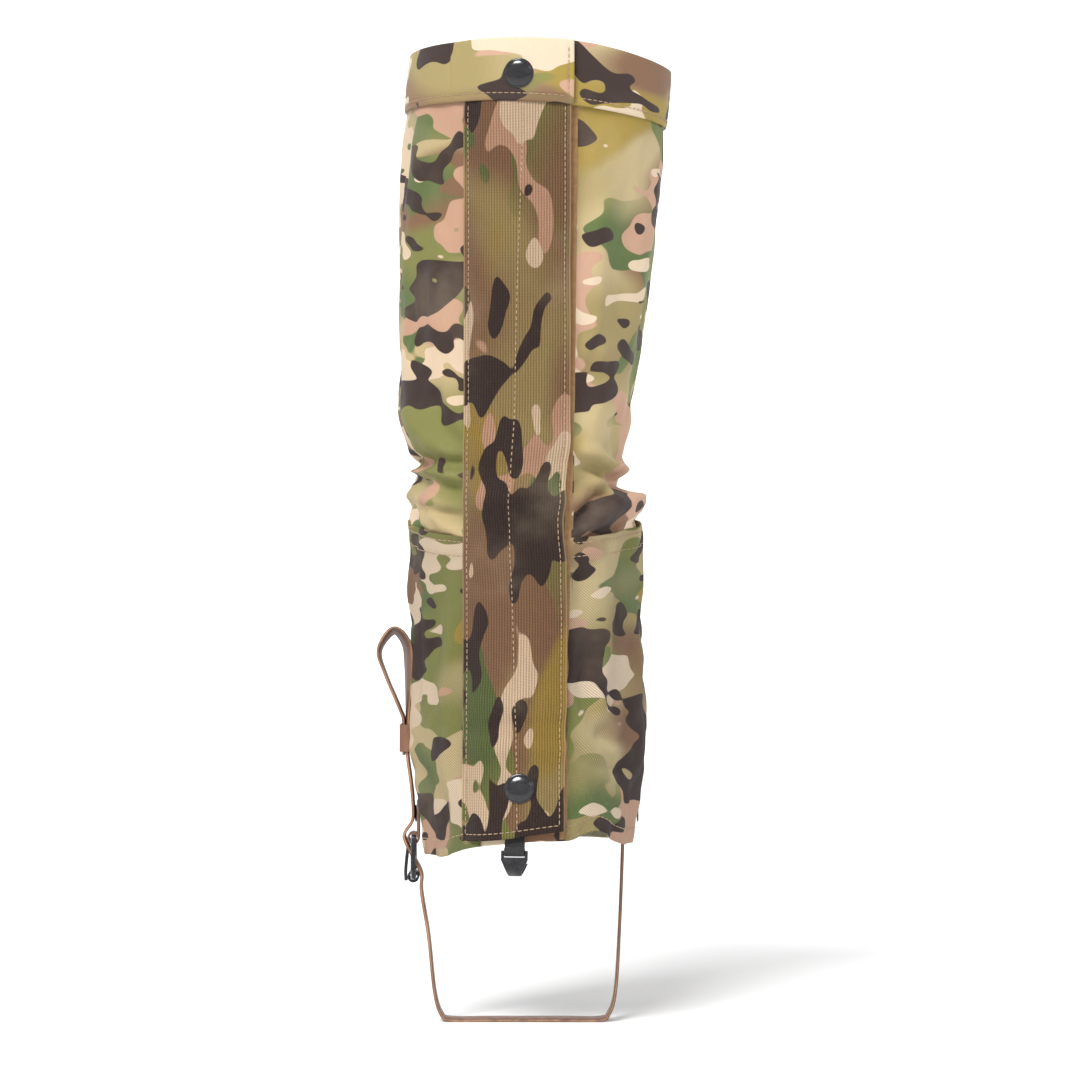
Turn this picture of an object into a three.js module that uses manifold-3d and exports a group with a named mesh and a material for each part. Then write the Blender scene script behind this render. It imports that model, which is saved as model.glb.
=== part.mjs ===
// A calf-high hiking gaiter for the right leg, closed round the leg as it is worn.
// Millimetres. +Z is up, -Y is the front and +X is the inner side of the leg.
// The origin is on the top face of the strap under the boot, on the axis of the leg.

import * as THREE from "three";
import { mergeVertices } from "three/addons/utils/BufferGeometryUtils.js";
import Module from "manifold-3d";

const wasm = await Module();
wasm.setup();

// ---- Driving dimensions ----

const GAP = 0.3; // between two pieces that touch

// Heights of the fabric tube
const HEM_Z = 86;
const ANKLE_Z = 281;
const TOP_Z = 495;
const COLLAR_HEIGHT = 32;
const COLLAR_Z = TOP_Z - COLLAR_HEIGHT;
const HEM_RISE = 9; // how far the hem lifts at the front
const HEM_RISE_ANGLE = 0.35; // where it is highest, towards the inner side
const SEAM_DROP = 40; // from the ankle down to the seam between the lower and the upper panels
const SEAM_Z = ANKLE_Z - SEAM_DROP;
const SEAM_RISE = 18; // how much higher the seam is at the back
const COLLAR_TILT = 4; // the collar is this much lower on the inner side and higher on the outer

// Widths of the fabric tube across the leg
const HEM_WIDTH = 102;
const BOOT_WIDTH = 114;
const ANKLE_WIDTH = 105;
const CALF_WIDTH = 130;

// The tube's sections: centre and width across the leg, and depth behind the leg's axis
const SECTIONS = [
  { z: HEM_Z, centre: 2, width: HEM_WIDTH, back: 76 },
  { z: HEM_Z + 24, centre: 2, width: HEM_WIDTH + (BOOT_WIDTH - HEM_WIDTH) * (5 / 12), back: 76 },
  { z: HEM_Z + 52, centre: 1, width: BOOT_WIDTH, back: 74 },
  { z: HEM_Z + 108, centre: 0.5, width: BOOT_WIDTH, back: 68 },
  { z: ANKLE_Z - 24, centre: -0.5, width: BOOT_WIDTH - 1, back: 58 },
  { z: ANKLE_Z, centre: -2.5, width: ANKLE_WIDTH, back: 53 },
  { z: ANKLE_Z + 28, centre: -4.5, width: ANKLE_WIDTH + 10, back: 58 },
  { z: ANKLE_Z + 62, centre: -2.6, width: ANKLE_WIDTH + 15.5, back: 68 },
  { z: COLLAR_Z - 48, centre: 2.3, width: CALF_WIDTH, back: 76 },
  { z: COLLAR_Z, centre: 5.4, width: CALF_WIDTH - 1, back: 74 },
  { z: TOP_Z, centre: 8, width: CALF_WIDTH - 1, back: 70 },
];

// The fold line where the front flap is sewn on; the front of the tube follows it
const FOLD_X = -28.5;
const FOLD_DEPTH_HEM = 60; // in front of the leg's axis
const FOLD_DEPTH_TOP = 48;

// Fabric layers
const UPPER_WALL = 1.4;
const LOWER_WALL = 1.8;
const COLLAR_WALL = 2.6;
const PLACKET_WALL = 1.2;
const PLACKET_TUCK = 6.2; // how far the outer panels reach under the flap
const PLACKET_REVEAL = 4.5; // how far the placket shows past the flap's free edge
const TAPE_WIDTH = 25;
const TAPE_WALL = 1.2;
const TAPE_GAP = 0.45; // on each side of a tape, because the faces are only nearly parallel
const TAPE_MARGIN = 5; // from the tape's ends to the snaps and the collar
const SEAM_TAPE_WIDTH = 12;
const SEAM_TAPE_WALL = 0.8;
const ELASTIC_WALL = 1.3;
const COLLAR_ELASTIC_HEIGHT = 18;
const ANKLE_ELASTIC_HEIGHT = 14;

// Front flap
const FLAP_WALL = 1.5;
const FLAP_RIGHT_TOP = 22.5; // X of the free edge
const FLAP_RIGHT_HEM = 17.5;
const FLAP_BOTTOM_Z = HEM_Z + 11;
const FLAP_RAMP = 12; // over which the flap climbs from its seam onto the fasteners
const TAB_WALL = 2;
const TAB_OVERHANG = 1; // the collar's tab reaches this much past the flap's free edge
const BAND_THIN = 10.8; // the collar's band is one layer over this length beside the tab

// Snap fasteners
const SNAP_X = -2;
const SNAP_INSET = 24; // from the flap's bottom edge
const SNAP_TOP_Z = COLLAR_Z + COLLAR_HEIGHT / 2;
const SNAP_BOTTOM_Z = FLAP_BOTTOM_Z + SNAP_INSET;
const CAP_RADIUS = 7.5;
const CAP_HEIGHT = 2.6;
const CAP_RIM = 0.7;
const CAP_POST_RADIUS = 1.5;
const SOCKET_RADIUS = 5.6;
const SOCKET_HEIGHT = 1.8;
const STUD_RADIUS = 5.5;
const STUD_FLANGE = 0.7;
const STUD_HEAD_RADIUS = 1.9;
const SOCKET_BORE = STUD_HEAD_RADIUS + 0.4;
const STUD_HEAD_HEIGHT = 1.8;
const STUD_POST_RADIUS = 1.3;
const STUD_BACK_HEIGHT = 0.9;
const POST_CLEARANCE = 0.4;
const CURVE_CLEARANCE = 0.6; // from a flat disc to the inside of a curved wall

// Lace hook and its webbing
const HOOK_X = -4.5;
const HOOK_PIN_Z = HEM_Z + 4.6;
const HOOK_SIDE = 1.45; // width of the plate on each side of its slot
const HOOK_TIP_WIDTH = 5.5;
const HOOK_WALL = 1.4;
const HOOK_DROP = 9;
const HOOK_THROAT = 3.2;
const HOOK_RETURN = 3.5;
const HOOK_WEBBING_WIDTH = 10;
const HOOK_WEBBING_WALL = 1.3;
const HOOK_WEBBING_TOP_Z = SNAP_BOTTOM_Z - STUD_RADIUS - 5.5;
const HOOK_WIDTH = HOOK_WEBBING_WIDTH + 2 * (GAP + HOOK_SIDE);
const HOOK_EYE_BORE = HOOK_WALL / 2 + 0.65;
const HOOK_EYE_RADIUS = HOOK_EYE_BORE + 0.95;
const HOOK_SLOT_CLEARANCE = 0.35;

// Strap under the boot
const STRAP_WIDTH = 16;
const STRAP_WALL = 1.6;
const STRAP_FLAT = 38; // half the flat stretch under the boot
const STRAP_SIDE = 46.5; // half the width just above the sole
const PIVOT_Z = HEM_Z + 19; // height of the rivets
const ANCHOR_STANDOFF = 1.7; // room for the strap to swing inside the curved hem
const STRAP_STEP = 3.9; // the most it moves inwards from the buckle's eye to the rivet
const TAIL_GAP = 1;
const KEEPER_Z = PIVOT_Z + 39;
const TAIL_TOP_Z = KEEPER_Z + 55;
const TAIL_REACH = 12.5; // how far the tail's loop stands out from the keeper
const KEEPER_HEIGHT = 14;
const KEEPER_WALL = 0.9;
const KEEPER_SIDE_CLEARANCE = 0.5;

// Rivets
const RIVET_HEAD_RADIUS = 4.5;
const RIVET_HEAD_HEIGHT = 0.8;
const RIVET_SHANK_RADIUS = 1.5;
const RIVET_HOLE_RADIUS = RIVET_SHANK_RADIUS + 0.4;
const RIVET_HOLE_REACH = 12; // longer than the wall and the strap together
const RIVET_BURR_RADIUS = 4;

// Buckle
const BAR_Z = PIVOT_Z - 12.5; // the bar that holds the tab and the prong
const BUCKLE_HEIGHT = 19.5; // between the centres of the two bars
const BUCKLE_BAR = 2.6;
const BUCKLE_SIDE_CLEARANCE = 1.4; // on each side of the strap
const BUCKLE_WIDTH = STRAP_WIDTH + 2 * (BUCKLE_BAR + BUCKLE_SIDE_CLEARANCE);
const EYE_BORE = BUCKLE_BAR / 2 + 0.8; // clears the square bar's corners
const EYE_RADIUS = EYE_BORE + 1.1;
const ROLLER_RADIUS = EYE_BORE + 0.9;
const ROLLER_CLEARANCE = 0.4;
const TAB_WIDTH = STRAP_WIDTH - 2;
const TAB_STRAP_WALL = 1.4;
const TAB_STANDOFF = 0.5;
const PRONG_WIDTH = 3.4;
const PRONG_WALL = 1.6;
const PRONG_CLEARANCE = 0.8;
const PRONG_SLOT = 11; // length of the strap's hole for the prong
const PRONG_SLOT_DROP = 6; // from the bar down to the middle of that hole

// Fineness of the curved surfaces
const COLUMN_WIDTH = 9;
const FRONT_COLUMN_WIDTH = 6; // of the layers that lie on each other at the front
const ROW_HEIGHT = 20;
const ROUND_SEGMENTS = 16;

// ---- The shape of the leg tube ----

// Smooth value of one field of SECTIONS at height z.
function sectionValue(field, z) {
  const last = SECTIONS.length - 1;
  let i = 0;
  while (i < last - 1 && z > SECTIONS[i + 1].z) i += 1;
  const slope = (k) => {
    const below = SECTIONS[Math.max(k - 1, 0)];
    const above = SECTIONS[Math.min(k + 1, last)];
    return (above[field] - below[field]) / (above.z - below.z);
  };
  const low = SECTIONS[i];
  const high = SECTIONS[i + 1];
  const span = high.z - low.z;
  const t = THREE.MathUtils.clamp((z - low.z) / span, 0, 1);
  const rise = t * t * (3 - 2 * t);
  const lowPull = t * (1 - t) * (1 - t) * span * slope(i);
  const highPull = t * t * (t - 1) * span * slope(i + 1);
  return low[field] * (1 - rise) + high[field] * rise + lowPull + highPull;
}

function foldDepth(z) {
  const t = (z - HEM_Z) / (TOP_Z - HEM_Z);
  return THREE.MathUtils.lerp(FOLD_DEPTH_HEM, FOLD_DEPTH_TOP, t);
}

function sectionAt(z) {
  const centre = sectionValue("centre", z);
  const half = sectionValue("width", z) / 2;
  const foldAngle = Math.asin((FOLD_X - centre) / half);
  const front = foldDepth(z) / Math.cos(foldAngle);
  return { centre, half, front, back: sectionValue("back", z) };
}

// Angle round the leg, 0 at the front and growing towards +X, where the front of the tube is at x.
function angleAt(x, z) {
  const { centre, half } = sectionAt(z);
  return Math.asin((x - centre) / half);
}

// A point at an angle round the leg and a height, `offset` outside the tube's inner face.
function skinPoint(angle, z, offset) {
  const { centre, half, front, back } = sectionAt(z);
  const depth = Math.cos(angle) > 0 ? front : back;
  const outward = new THREE.Vector3(Math.sin(angle) / half, -Math.cos(angle) / depth, 0);
  const point = new THREE.Vector3(centre + half * Math.sin(angle), -depth * Math.cos(angle), z);
  return point.addScaledVector(outward.normalize(), offset);
}

// X of the tube's side at height z: side is -1 for the outer side and 1 for the inner side.
function wallX(side, z, offset) {
  return skinPoint((side * Math.PI) / 2, z, offset).x;
}

const hemZ = (angle) => HEM_Z + (HEM_RISE * (1 + Math.cos(angle - HEM_RISE_ANGLE))) / 2;
const seamZ = (angle) => SEAM_Z + (SEAM_RISE * (1 - Math.cos(angle))) / 2;
const collarZ = (angle) => COLLAR_Z - COLLAR_TILT * Math.sin(angle);
const topZ = (angle) => TOP_Z - COLLAR_TILT * Math.sin(angle);

const flapRightX = (z) =>
  THREE.MathUtils.lerp(FLAP_RIGHT_HEM, FLAP_RIGHT_TOP, (z - HEM_Z) / (TOP_Z - HEM_Z));
const placketRightX = (z) => flapRightX(z) + PLACKET_REVEAL;
const placketLeftX = FOLD_X + PLACKET_TUCK;

// ---- Making solids ----

// Heights of the rows between two heights, on a grid that all pieces share.
function rowHeights(bottom, top) {
  const rows = [bottom];
  const first = Math.ceil((bottom + 1) / ROW_HEIGHT) * ROW_HEIGHT;
  for (let z = first; z < top - 1; z += ROW_HEIGHT) rows.push(z);
  rows.push(top);
  return rows;
}

// A sheet wrapped round the leg. `from` and `to` give its edge angles at a height, `bottom` and
// `top` its edge heights at an angle, and `inner` and `outer` its faces' offsets at (angle, z).
// Its rows leave the shared grid only near its bottom and top edges.
function wrap({ from, to, bottom, top, inner, outer, columnWidth = COLUMN_WIDTH }) {
  const middle = (from(ANKLE_Z) + to(ANKLE_Z)) / 2;
  const lowest = bottom(middle);
  const highest = top(middle);
  const rows = rowHeights(lowest, highest);
  const fadeHeight = Math.min(3 * ROW_HEIGHT, highest - lowest);
  const fade = (distance) => Math.max(0, 1 - distance / fadeHeight);
  const mid = (lowest + highest) / 2;
  const arc = (to(mid) - from(mid)) * sectionAt(mid).half;
  const columns = Math.max(2, Math.round(arc / columnWidth));
  const geometry = new THREE.BoxGeometry(1, 1, 1, columns, rows.length - 1, 1);
  const position = geometry.attributes.position;
  for (let i = 0; i < position.count; i += 1) {
    const across = position.getX(i) + 0.5;
    const row = rows[Math.round((position.getY(i) + 0.5) * (rows.length - 1))];
    let z = row;
    let angle = 0;
    for (let pass = 0; pass < 4; pass += 1) {
      angle = THREE.MathUtils.lerp(from(z), to(z), across);
      z = row + (bottom(angle) - lowest) * fade(row - lowest);
      z += (top(angle) - highest) * fade(highest - row);
    }
    const offset = position.getZ(i) > 0 ? outer(angle, z) : inner(angle, z);
    position.setXYZ(i, ...skinPoint(angle, z, offset).toArray());
  }
  geometry.computeVertexNormals();
  return geometry;
}

const flat = (value) => () => value;

function toManifold(geometry) {
  const bare = geometry.clone();
  bare.deleteAttribute("normal");
  bare.deleteAttribute("uv");
  const merged = mergeVertices(bare, 1e-4);
  return new wasm.Manifold(
    new wasm.Mesh({
      numProp: 3,
      vertProperties: Float32Array.from(merged.attributes.position.array),
      triVerts: Uint32Array.from(merged.index.array),
    }),
  );
}

function fromManifold(solid) {
  const mesh = solid.getMesh();
  const geometry = new THREE.BufferGeometry();
  geometry.setAttribute("position", new THREE.BufferAttribute(mesh.vertProperties, 3));
  geometry.setIndex(new THREE.BufferAttribute(mesh.triVerts, 1));
  geometry.computeVertexNormals();
  return geometry;
}

const cut = (geometry, ...tools) =>
  fromManifold(tools.reduce((solid, tool) => solid.subtract(toManifold(tool)), toManifold(geometry)));
const join = (a, b) => fromManifold(toManifold(a).add(toManifold(b)));
const overlapOf = (a, b) => fromManifold(toManifold(a).intersect(toManifold(b)));

// A shape drawn in X and Z, `width` deep along Y and centred on y = 0.
function extrudeAlongY(shape, width) {
  const options = { depth: width, bevelEnabled: false, curveSegments: ROUND_SEGMENTS / 2 };
  const geometry = new THREE.ExtrudeGeometry(shape, options);
  geometry.rotateX(Math.PI / 2);
  geometry.translate(0, width / 2, 0);
  return geometry;
}

// A shape drawn in Y and Z, `width` deep along X and centred on x = 0.
function extrudeAlongX(shape, width) {
  return extrudeAlongY(shape, width).rotateZ(Math.PI / 2);
}

// Outline of a strip of constant thickness whose middle runs through the points.
function stripShape(points, thickness) {
  const sides = [[], []];
  points.forEach((point, i) => {
    const before = points[Math.max(i - 1, 0)];
    const after = points[Math.min(i + 1, points.length - 1)];
    const along = after.clone().sub(before).normalize();
    const half = thickness / 2;
    sides[0].push(new THREE.Vector2(point.x - along.y * half, point.y + along.x * half));
    sides[1].push(new THREE.Vector2(point.x + along.y * half, point.y - along.x * half));
  });
  return new THREE.Shape([...sides[0], ...sides[1].reverse()]);
}

const at = (x, z) => new THREE.Vector2(x, z);
const smooth = (points, steps) => new THREE.SplineCurve(points).getPoints(steps);

function ringShape(radius, bore) {
  const shape = new THREE.Shape();
  shape.absarc(0, 0, radius, 0, 2 * Math.PI);
  const hole = new THREE.Path();
  hole.absarc(0, 0, bore, 0, 2 * Math.PI, true);
  shape.holes.push(hole);
  return shape;
}

// Outline, in Y and Z, of a strap of the given width with round ends up at the rivets.
function roundedEnd(width, bottom) {
  const shape = new THREE.Shape();
  shape.moveTo(-width / 2, bottom);
  shape.lineTo(width / 2, bottom);
  shape.lineTo(width / 2, PIVOT_Z);
  shape.absarc(0, PIVOT_Z, width / 2, 0, Math.PI);
  return shape;
}

const cylinderAlongX = (radius, length) =>
  new THREE.CylinderGeometry(radius, radius, length, ROUND_SEGMENTS).rotateZ(Math.PI / 2);

const cylinderAlongY = (radius, length) =>
  new THREE.CylinderGeometry(radius, radius, length, ROUND_SEGMENTS);

function lathe(profile) {
  return new THREE.LatheGeometry(
    profile.map(([radius, height]) => new THREE.Vector2(radius, height)),
    ROUND_SEGMENTS,
  );
}

// ---- Materials ----

const material = (color, roughness, metalness = 0) =>
  new THREE.MeshStandardMaterial({ color, roughness, metalness });

const nylon = material(0xb9ab84, 0.8);
const cordura = material(0xa89a74, 0.9);
const webbing = material(0x1c1c1e, 0.8);
const elastic = material(0x35332f, 0.85);
const strapRubber = material(0x8a5a44, 0.6);
const blackMetal = material(0x17181a, 0.35, 0.6);

const gaiter = new THREE.Group();

function add(name, geometry, look, parent = gaiter) {
  const mesh = new THREE.Mesh(geometry, look);
  mesh.name = name;
  parent.add(mesh);
  return mesh;
}

// ---- Fabric tube ----

const BACK = Math.PI;
const outerFrontEdge = (z) => 2 * Math.PI + angleAt(placketLeftX - GAP, z);
const innerFrontEdge = (z) => angleAt(placketRightX(z) + GAP, z);
const backGap = (z) => GAP / 2 / sectionAt(z).half;
const outerBackEdge = (z) => BACK + backGap(z);
const innerBackEdge = (z) => BACK - backGap(z);

function rivetHole(side) {
  const hole = cylinderAlongX(RIVET_HOLE_RADIUS, RIVET_HOLE_REACH);
  return hole.translate(wallX(side, PIVOT_Z, 0), 0, PIVOT_Z);
}

function makePanels() {
  const sides = [
    { name: "outer", side: -1, from: outerBackEdge, to: outerFrontEdge },
    { name: "inner", side: 1, from: innerFrontEdge, to: innerBackEdge },
  ];
  for (const { name, side, from, to } of sides) {
    const upper = wrap({
      from,
      to,
      bottom: (angle) => seamZ(angle) + GAP,
      top: (angle) => collarZ(angle) - GAP,
      inner: flat(0),
      outer: flat(UPPER_WALL),
    });
    add(`upper_${name}_panel`, upper, nylon);
    const lower = wrap({
      from,
      to,
      bottom: hemZ,
      top: seamZ,
      inner: flat(0),
      outer: flat(LOWER_WALL),
    });
    add(`lower_${name}_panel`, cut(lower, rivetHole(side)), cordura);
  }
}

function makeCollar() {
  // The band thins to one layer just before the fold line, where the tab is sewn on.
  const thinFrom = (z) => 2 * Math.PI + angleAt(FOLD_X - BAND_THIN, z);
  const band = wrap({
    from: innerFrontEdge,
    to: outerFrontEdge,
    bottom: collarZ,
    top: topZ,
    inner: flat(0),
    outer: (angle, z) => (angle > thinFrom(z) ? UPPER_WALL : COLLAR_WALL),
  });
  add("collar_band", band, nylon);
  const margin = (TOP_Z - COLLAR_Z - COLLAR_ELASTIC_HEIGHT) / 2;
  const grip = wrap({
    from: innerFrontEdge,
    to: outerFrontEdge,
    bottom: (angle) => collarZ(angle) + margin,
    top: (angle) => topZ(angle) - margin,
    inner: flat(-GAP - ELASTIC_WALL),
    outer: flat(-GAP),
  });
  add("collar_elastic", grip, elastic);
}

function makeAnkleElastic() {
  const band = wrap({
    from: flat(Math.PI / 3),
    to: flat((5 * Math.PI) / 3),
    bottom: flat(ANKLE_Z - ANKLE_ELASTIC_HEIGHT / 2),
    top: flat(ANKLE_Z + ANKLE_ELASTIC_HEIGHT / 2),
    inner: flat(-2 * GAP - ELASTIC_WALL),
    outer: flat(-2 * GAP),
  });
  add("ankle_elastic", band, elastic);
}

function makeSeamTape() {
  const halfAngle = (z) => SEAM_TAPE_WIDTH / 2 / sectionAt(z).half;
  const tape = wrap({
    from: (z) => BACK - halfAngle(z),
    to: (z) => BACK + halfAngle(z),
    bottom: hemZ,
    top: (angle) => collarZ(angle) - GAP,
    inner: flat(LOWER_WALL + GAP),
    outer: flat(LOWER_WALL + GAP + SEAM_TAPE_WALL),
  });
  add("back_seam_tape", tape, cordura);
}

// ---- Snaps: each layer's distance from the tube's inner face ----

const studBase = PLACKET_WALL + GAP;
const socketBase = studBase + STUD_FLANGE + GAP;
const socketTop = socketBase + SOCKET_HEIGHT;
const tapesTop = PLACKET_WALL + 2 * TAPE_GAP + 2 * TAPE_WALL + GAP;
const flapInside = Math.max(socketTop + CURVE_CLEARANCE, tapesTop);
const studTop = studBase + STUD_FLANGE + STUD_HEAD_HEIGHT;
const postBottom = studTop + GAP;
const flapSeat = LOWER_WALL + GAP; // where the flap is sewn on

// Direction straight out of the tube's front at (SNAP_X, z).
function outwardAt(z) {
  const angle = angleAt(SNAP_X, z);
  const step = 0.5;
  const turn = step / 60; // the angle that is about one step along the tube
  const across = skinPoint(angle + turn, z, 0).sub(skinPoint(angle - turn, z, 0));
  const up = skinPoint(angle, z + step, 0).sub(skinPoint(angle, z - step, 0));
  return across.cross(up).normalize();
}

// Places a piece made round the Y axis so that its height 0 is `offset` outside the inner face.
function placeAsSnap(mesh, z, offset) {
  const outward = outwardAt(z);
  mesh.position.copy(skinPoint(angleAt(SNAP_X, z), z, 0).addScaledVector(outward, offset));
  mesh.quaternion.setFromUnitVectors(new THREE.Vector3(0, 1, 0), outward);
}

function snapHole(z, radius) {
  const reach = 20;
  const hole = new THREE.CylinderGeometry(radius, radius, reach, ROUND_SEGMENTS);
  const placed = new THREE.Mesh(hole);
  placeAsSnap(placed, z, 0);
  placed.updateMatrix();
  return hole.applyMatrix4(placed.matrix);
}

function capGeometry(wallTop) {
  const post = wallTop + GAP - postBottom;
  const domeSteps = 4;
  const profile = [
    [0, -post],
    [CAP_POST_RADIUS, -post],
    [CAP_POST_RADIUS, 0],
    [CAP_RADIUS, 0],
  ];
  for (let i = 0; i <= domeSteps; i += 1) {
    const turn = (Math.PI / 2) * (i / domeSteps);
    profile.push([CAP_RADIUS * Math.cos(turn), CAP_RIM + (CAP_HEIGHT - CAP_RIM) * Math.sin(turn)]);
  }
  profile[profile.length - 1][0] = 0;
  return lathe(profile);
}

function makeSnap(name, z, wall) {
  const wallTop = flapInside + wall;
  placeAsSnap(add(`snap_cap_${name}`, capGeometry(wallTop), blackMetal), z, wallTop + GAP);

  const socket = lathe([
    [SOCKET_BORE, 0],
    [SOCKET_RADIUS, 0],
    [SOCKET_RADIUS, SOCKET_HEIGHT],
    [SOCKET_BORE, SOCKET_HEIGHT],
    [SOCKET_BORE, 0],
  ]);
  placeAsSnap(add(`snap_socket_${name}`, socket, blackMetal), z, socketBase);

  const stud = lathe([
    [0, -studBase],
    [STUD_POST_RADIUS, -studBase],
    [STUD_POST_RADIUS, 0],
    [STUD_RADIUS, 0],
    [STUD_RADIUS, STUD_FLANGE],
    [STUD_HEAD_RADIUS, STUD_FLANGE],
    [STUD_HEAD_RADIUS, STUD_FLANGE + STUD_HEAD_HEIGHT],
    [0, STUD_FLANGE + STUD_HEAD_HEIGHT],
  ]);
  placeAsSnap(add(`snap_stud_${name}`, stud, blackMetal), z, studBase);

  const back = new THREE.CylinderGeometry(STUD_RADIUS, STUD_RADIUS, STUD_BACK_HEIGHT, ROUND_SEGMENTS);
  const depth = CURVE_CLEARANCE + STUD_BACK_HEIGHT / 2;
  placeAsSnap(add(`snap_stud_back_${name}`, back, blackMetal), z, -depth);
}

// ---- Front opening ----

function makePlacket() {
  const strip = wrap({
    from: (z) => angleAt(placketLeftX, z),
    to: (z) => angleAt(placketRightX(z), z),
    bottom: hemZ,
    top: topZ,
    inner: flat(0),
    outer: flat(PLACKET_WALL),
    columnWidth: FRONT_COLUMN_WIDTH,
  });
  const holes = [SNAP_TOP_Z, SNAP_BOTTOM_Z].map((z) => snapHole(z, STUD_POST_RADIUS + POST_CLEARANCE));
  add("underlap_placket", cut(strip, ...holes), nylon);
}

// One half of the touch fastener, between the two snaps.
function tapeGeometry(inner) {
  return wrap({
    from: (z) => angleAt(SNAP_X - TAPE_WIDTH / 2, z),
    to: (z) => angleAt(SNAP_X + TAPE_WIDTH / 2, z),
    bottom: flat(SNAP_BOTTOM_Z + CAP_RADIUS + TAPE_MARGIN),
    top: flat(COLLAR_Z - TAPE_MARGIN),
    inner: flat(inner),
    outer: flat(inner + TAPE_WALL),
    columnWidth: FRONT_COLUMN_WIDTH,
  });
}

// A front layer that starts on the outer panel at the fold line and climbs over the fasteners.
function flapGeometry(bottom, top, right, wall) {
  const inner = (angle, z) => {
    const along = (angle - angleAt(FOLD_X, z)) * sectionAt(z).half;
    const t = THREE.MathUtils.smoothstep(along, 0, FLAP_RAMP);
    return THREE.MathUtils.lerp(flapSeat, flapInside, t);
  };
  return wrap({
    from: (z) => angleAt(FOLD_X, z),
    to: (z) => angleAt(right(z), z),
    bottom,
    top,
    inner,
    outer: (angle, z) => inner(angle, z) + wall,
    columnWidth: FRONT_COLUMN_WIDTH,
  });
}

function makeFlap() {
  const capHole = (z) => snapHole(z, CAP_POST_RADIUS + POST_CLEARANCE);
  const flap = flapGeometry(flat(FLAP_BOTTOM_Z), (a) => collarZ(a) - GAP, flapRightX, FLAP_WALL);
  add("storm_flap", cut(flap, capHole(SNAP_BOTTOM_Z)), nylon);
  const tab = flapGeometry(collarZ, topZ, (z) => flapRightX(z) + TAB_OVERHANG, TAB_WALL);
  add("collar_tab", cut(tab, capHole(SNAP_TOP_Z)), nylon);
}

// ---- Lace hook ----

const hookSeat = PLACKET_WALL + GAP; // offset of the webbing's inner face

// A group at the hook's pin: +X along the pin, +Z up the tube's front, -Y straight out of it.
function hookGroup() {
  const group = new THREE.Group();
  const angle = angleAt(HOOK_X, HOOK_PIN_Z);
  const turn = Math.atan2(sectionAt(HOOK_PIN_Z).front * Math.tan(angle), sectionAt(HOOK_PIN_Z).half);
  const offset = hookSeat + HOOK_EYE_RADIUS / 2;
  group.position.copy(skinPoint(angle, HOOK_PIN_Z, offset));
  const rise = HOOK_WEBBING_TOP_Z - HOOK_PIN_Z;
  const high = skinPoint(angleAt(HOOK_X, HOOK_WEBBING_TOP_Z), HOOK_WEBBING_TOP_Z, offset);
  const lean = -Math.atan((high.y - group.position.y) / rise);
  group.rotation.set(lean, 0, turn, "ZXY");
  gaiter.add(group);
  return group;
}

function makeLaceHook() {
  const group = hookGroup();

  const strip = new THREE.BoxGeometry(
    HOOK_WEBBING_WIDTH,
    HOOK_WEBBING_WALL,
    HOOK_WEBBING_TOP_Z - HOOK_PIN_Z - HOOK_EYE_BORE,
  );
  const stripY = HOOK_EYE_RADIUS / 2 - HOOK_WEBBING_WALL / 2;
  strip.translate(0, stripY, (HOOK_WEBBING_TOP_Z - HOOK_PIN_Z + HOOK_EYE_BORE) / 2);
  const eye = extrudeAlongX(ringShape(HOOK_EYE_RADIUS, HOOK_EYE_BORE), HOOK_WEBBING_WIDTH);
  add("hook_webbing", join(strip, eye), webbing, group);

  // Side view: straight down from the pin, then a half circle back towards the leg.
  const bend = (HOOK_THROAT + HOOK_WALL) / 2;
  const bendSteps = 6;
  const middle = [at(0, HOOK_WALL / 2), at(0, -HOOK_DROP)];
  for (let i = 1; i <= bendSteps; i += 1) {
    const turn = (Math.PI * i) / bendSteps;
    middle.push(at(bend - bend * Math.cos(turn), -HOOK_DROP - bend * Math.sin(turn)));
  }
  middle.push(at(2 * bend, -HOOK_DROP + HOOK_RETURN));
  const side = extrudeAlongX(stripShape(middle, HOOK_WALL), HOOK_WIDTH);

  // Front view: square at the pin, tapering to the bend.
  const shoulder = -HOOK_EYE_RADIUS - HOOK_SLOT_CLEARANCE - HOOK_WALL;
  const bottom = -HOOK_DROP - bend - HOOK_WALL;
  const outline = new THREE.Shape([
    at(-HOOK_WIDTH / 2, HOOK_WALL),
    at(-HOOK_WIDTH / 2, shoulder),
    at(-HOOK_TIP_WIDTH / 2, bottom),
    at(HOOK_TIP_WIDTH / 2, bottom),
    at(HOOK_WIDTH / 2, shoulder),
    at(HOOK_WIDTH / 2, HOOK_WALL),
  ]);
  const front = extrudeAlongY(outline, 4 * (HOOK_THROAT + HOOK_WALL));
  const slotHeight = HOOK_EYE_RADIUS + HOOK_SLOT_CLEARANCE - HOOK_WALL / 2;
  const slot = new THREE.BoxGeometry(HOOK_WEBBING_WIDTH + 2 * GAP, 2 * HOOK_WALL, slotHeight);
  slot.translate(0, 0, -HOOK_WALL / 2 - slotHeight / 2);
  add("lace_hook", cut(overlapOf(side, front), slot), blackMetal, group);
}

// ---- Strap, keeper and buckle: places across the leg, on the outer side ----

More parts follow.
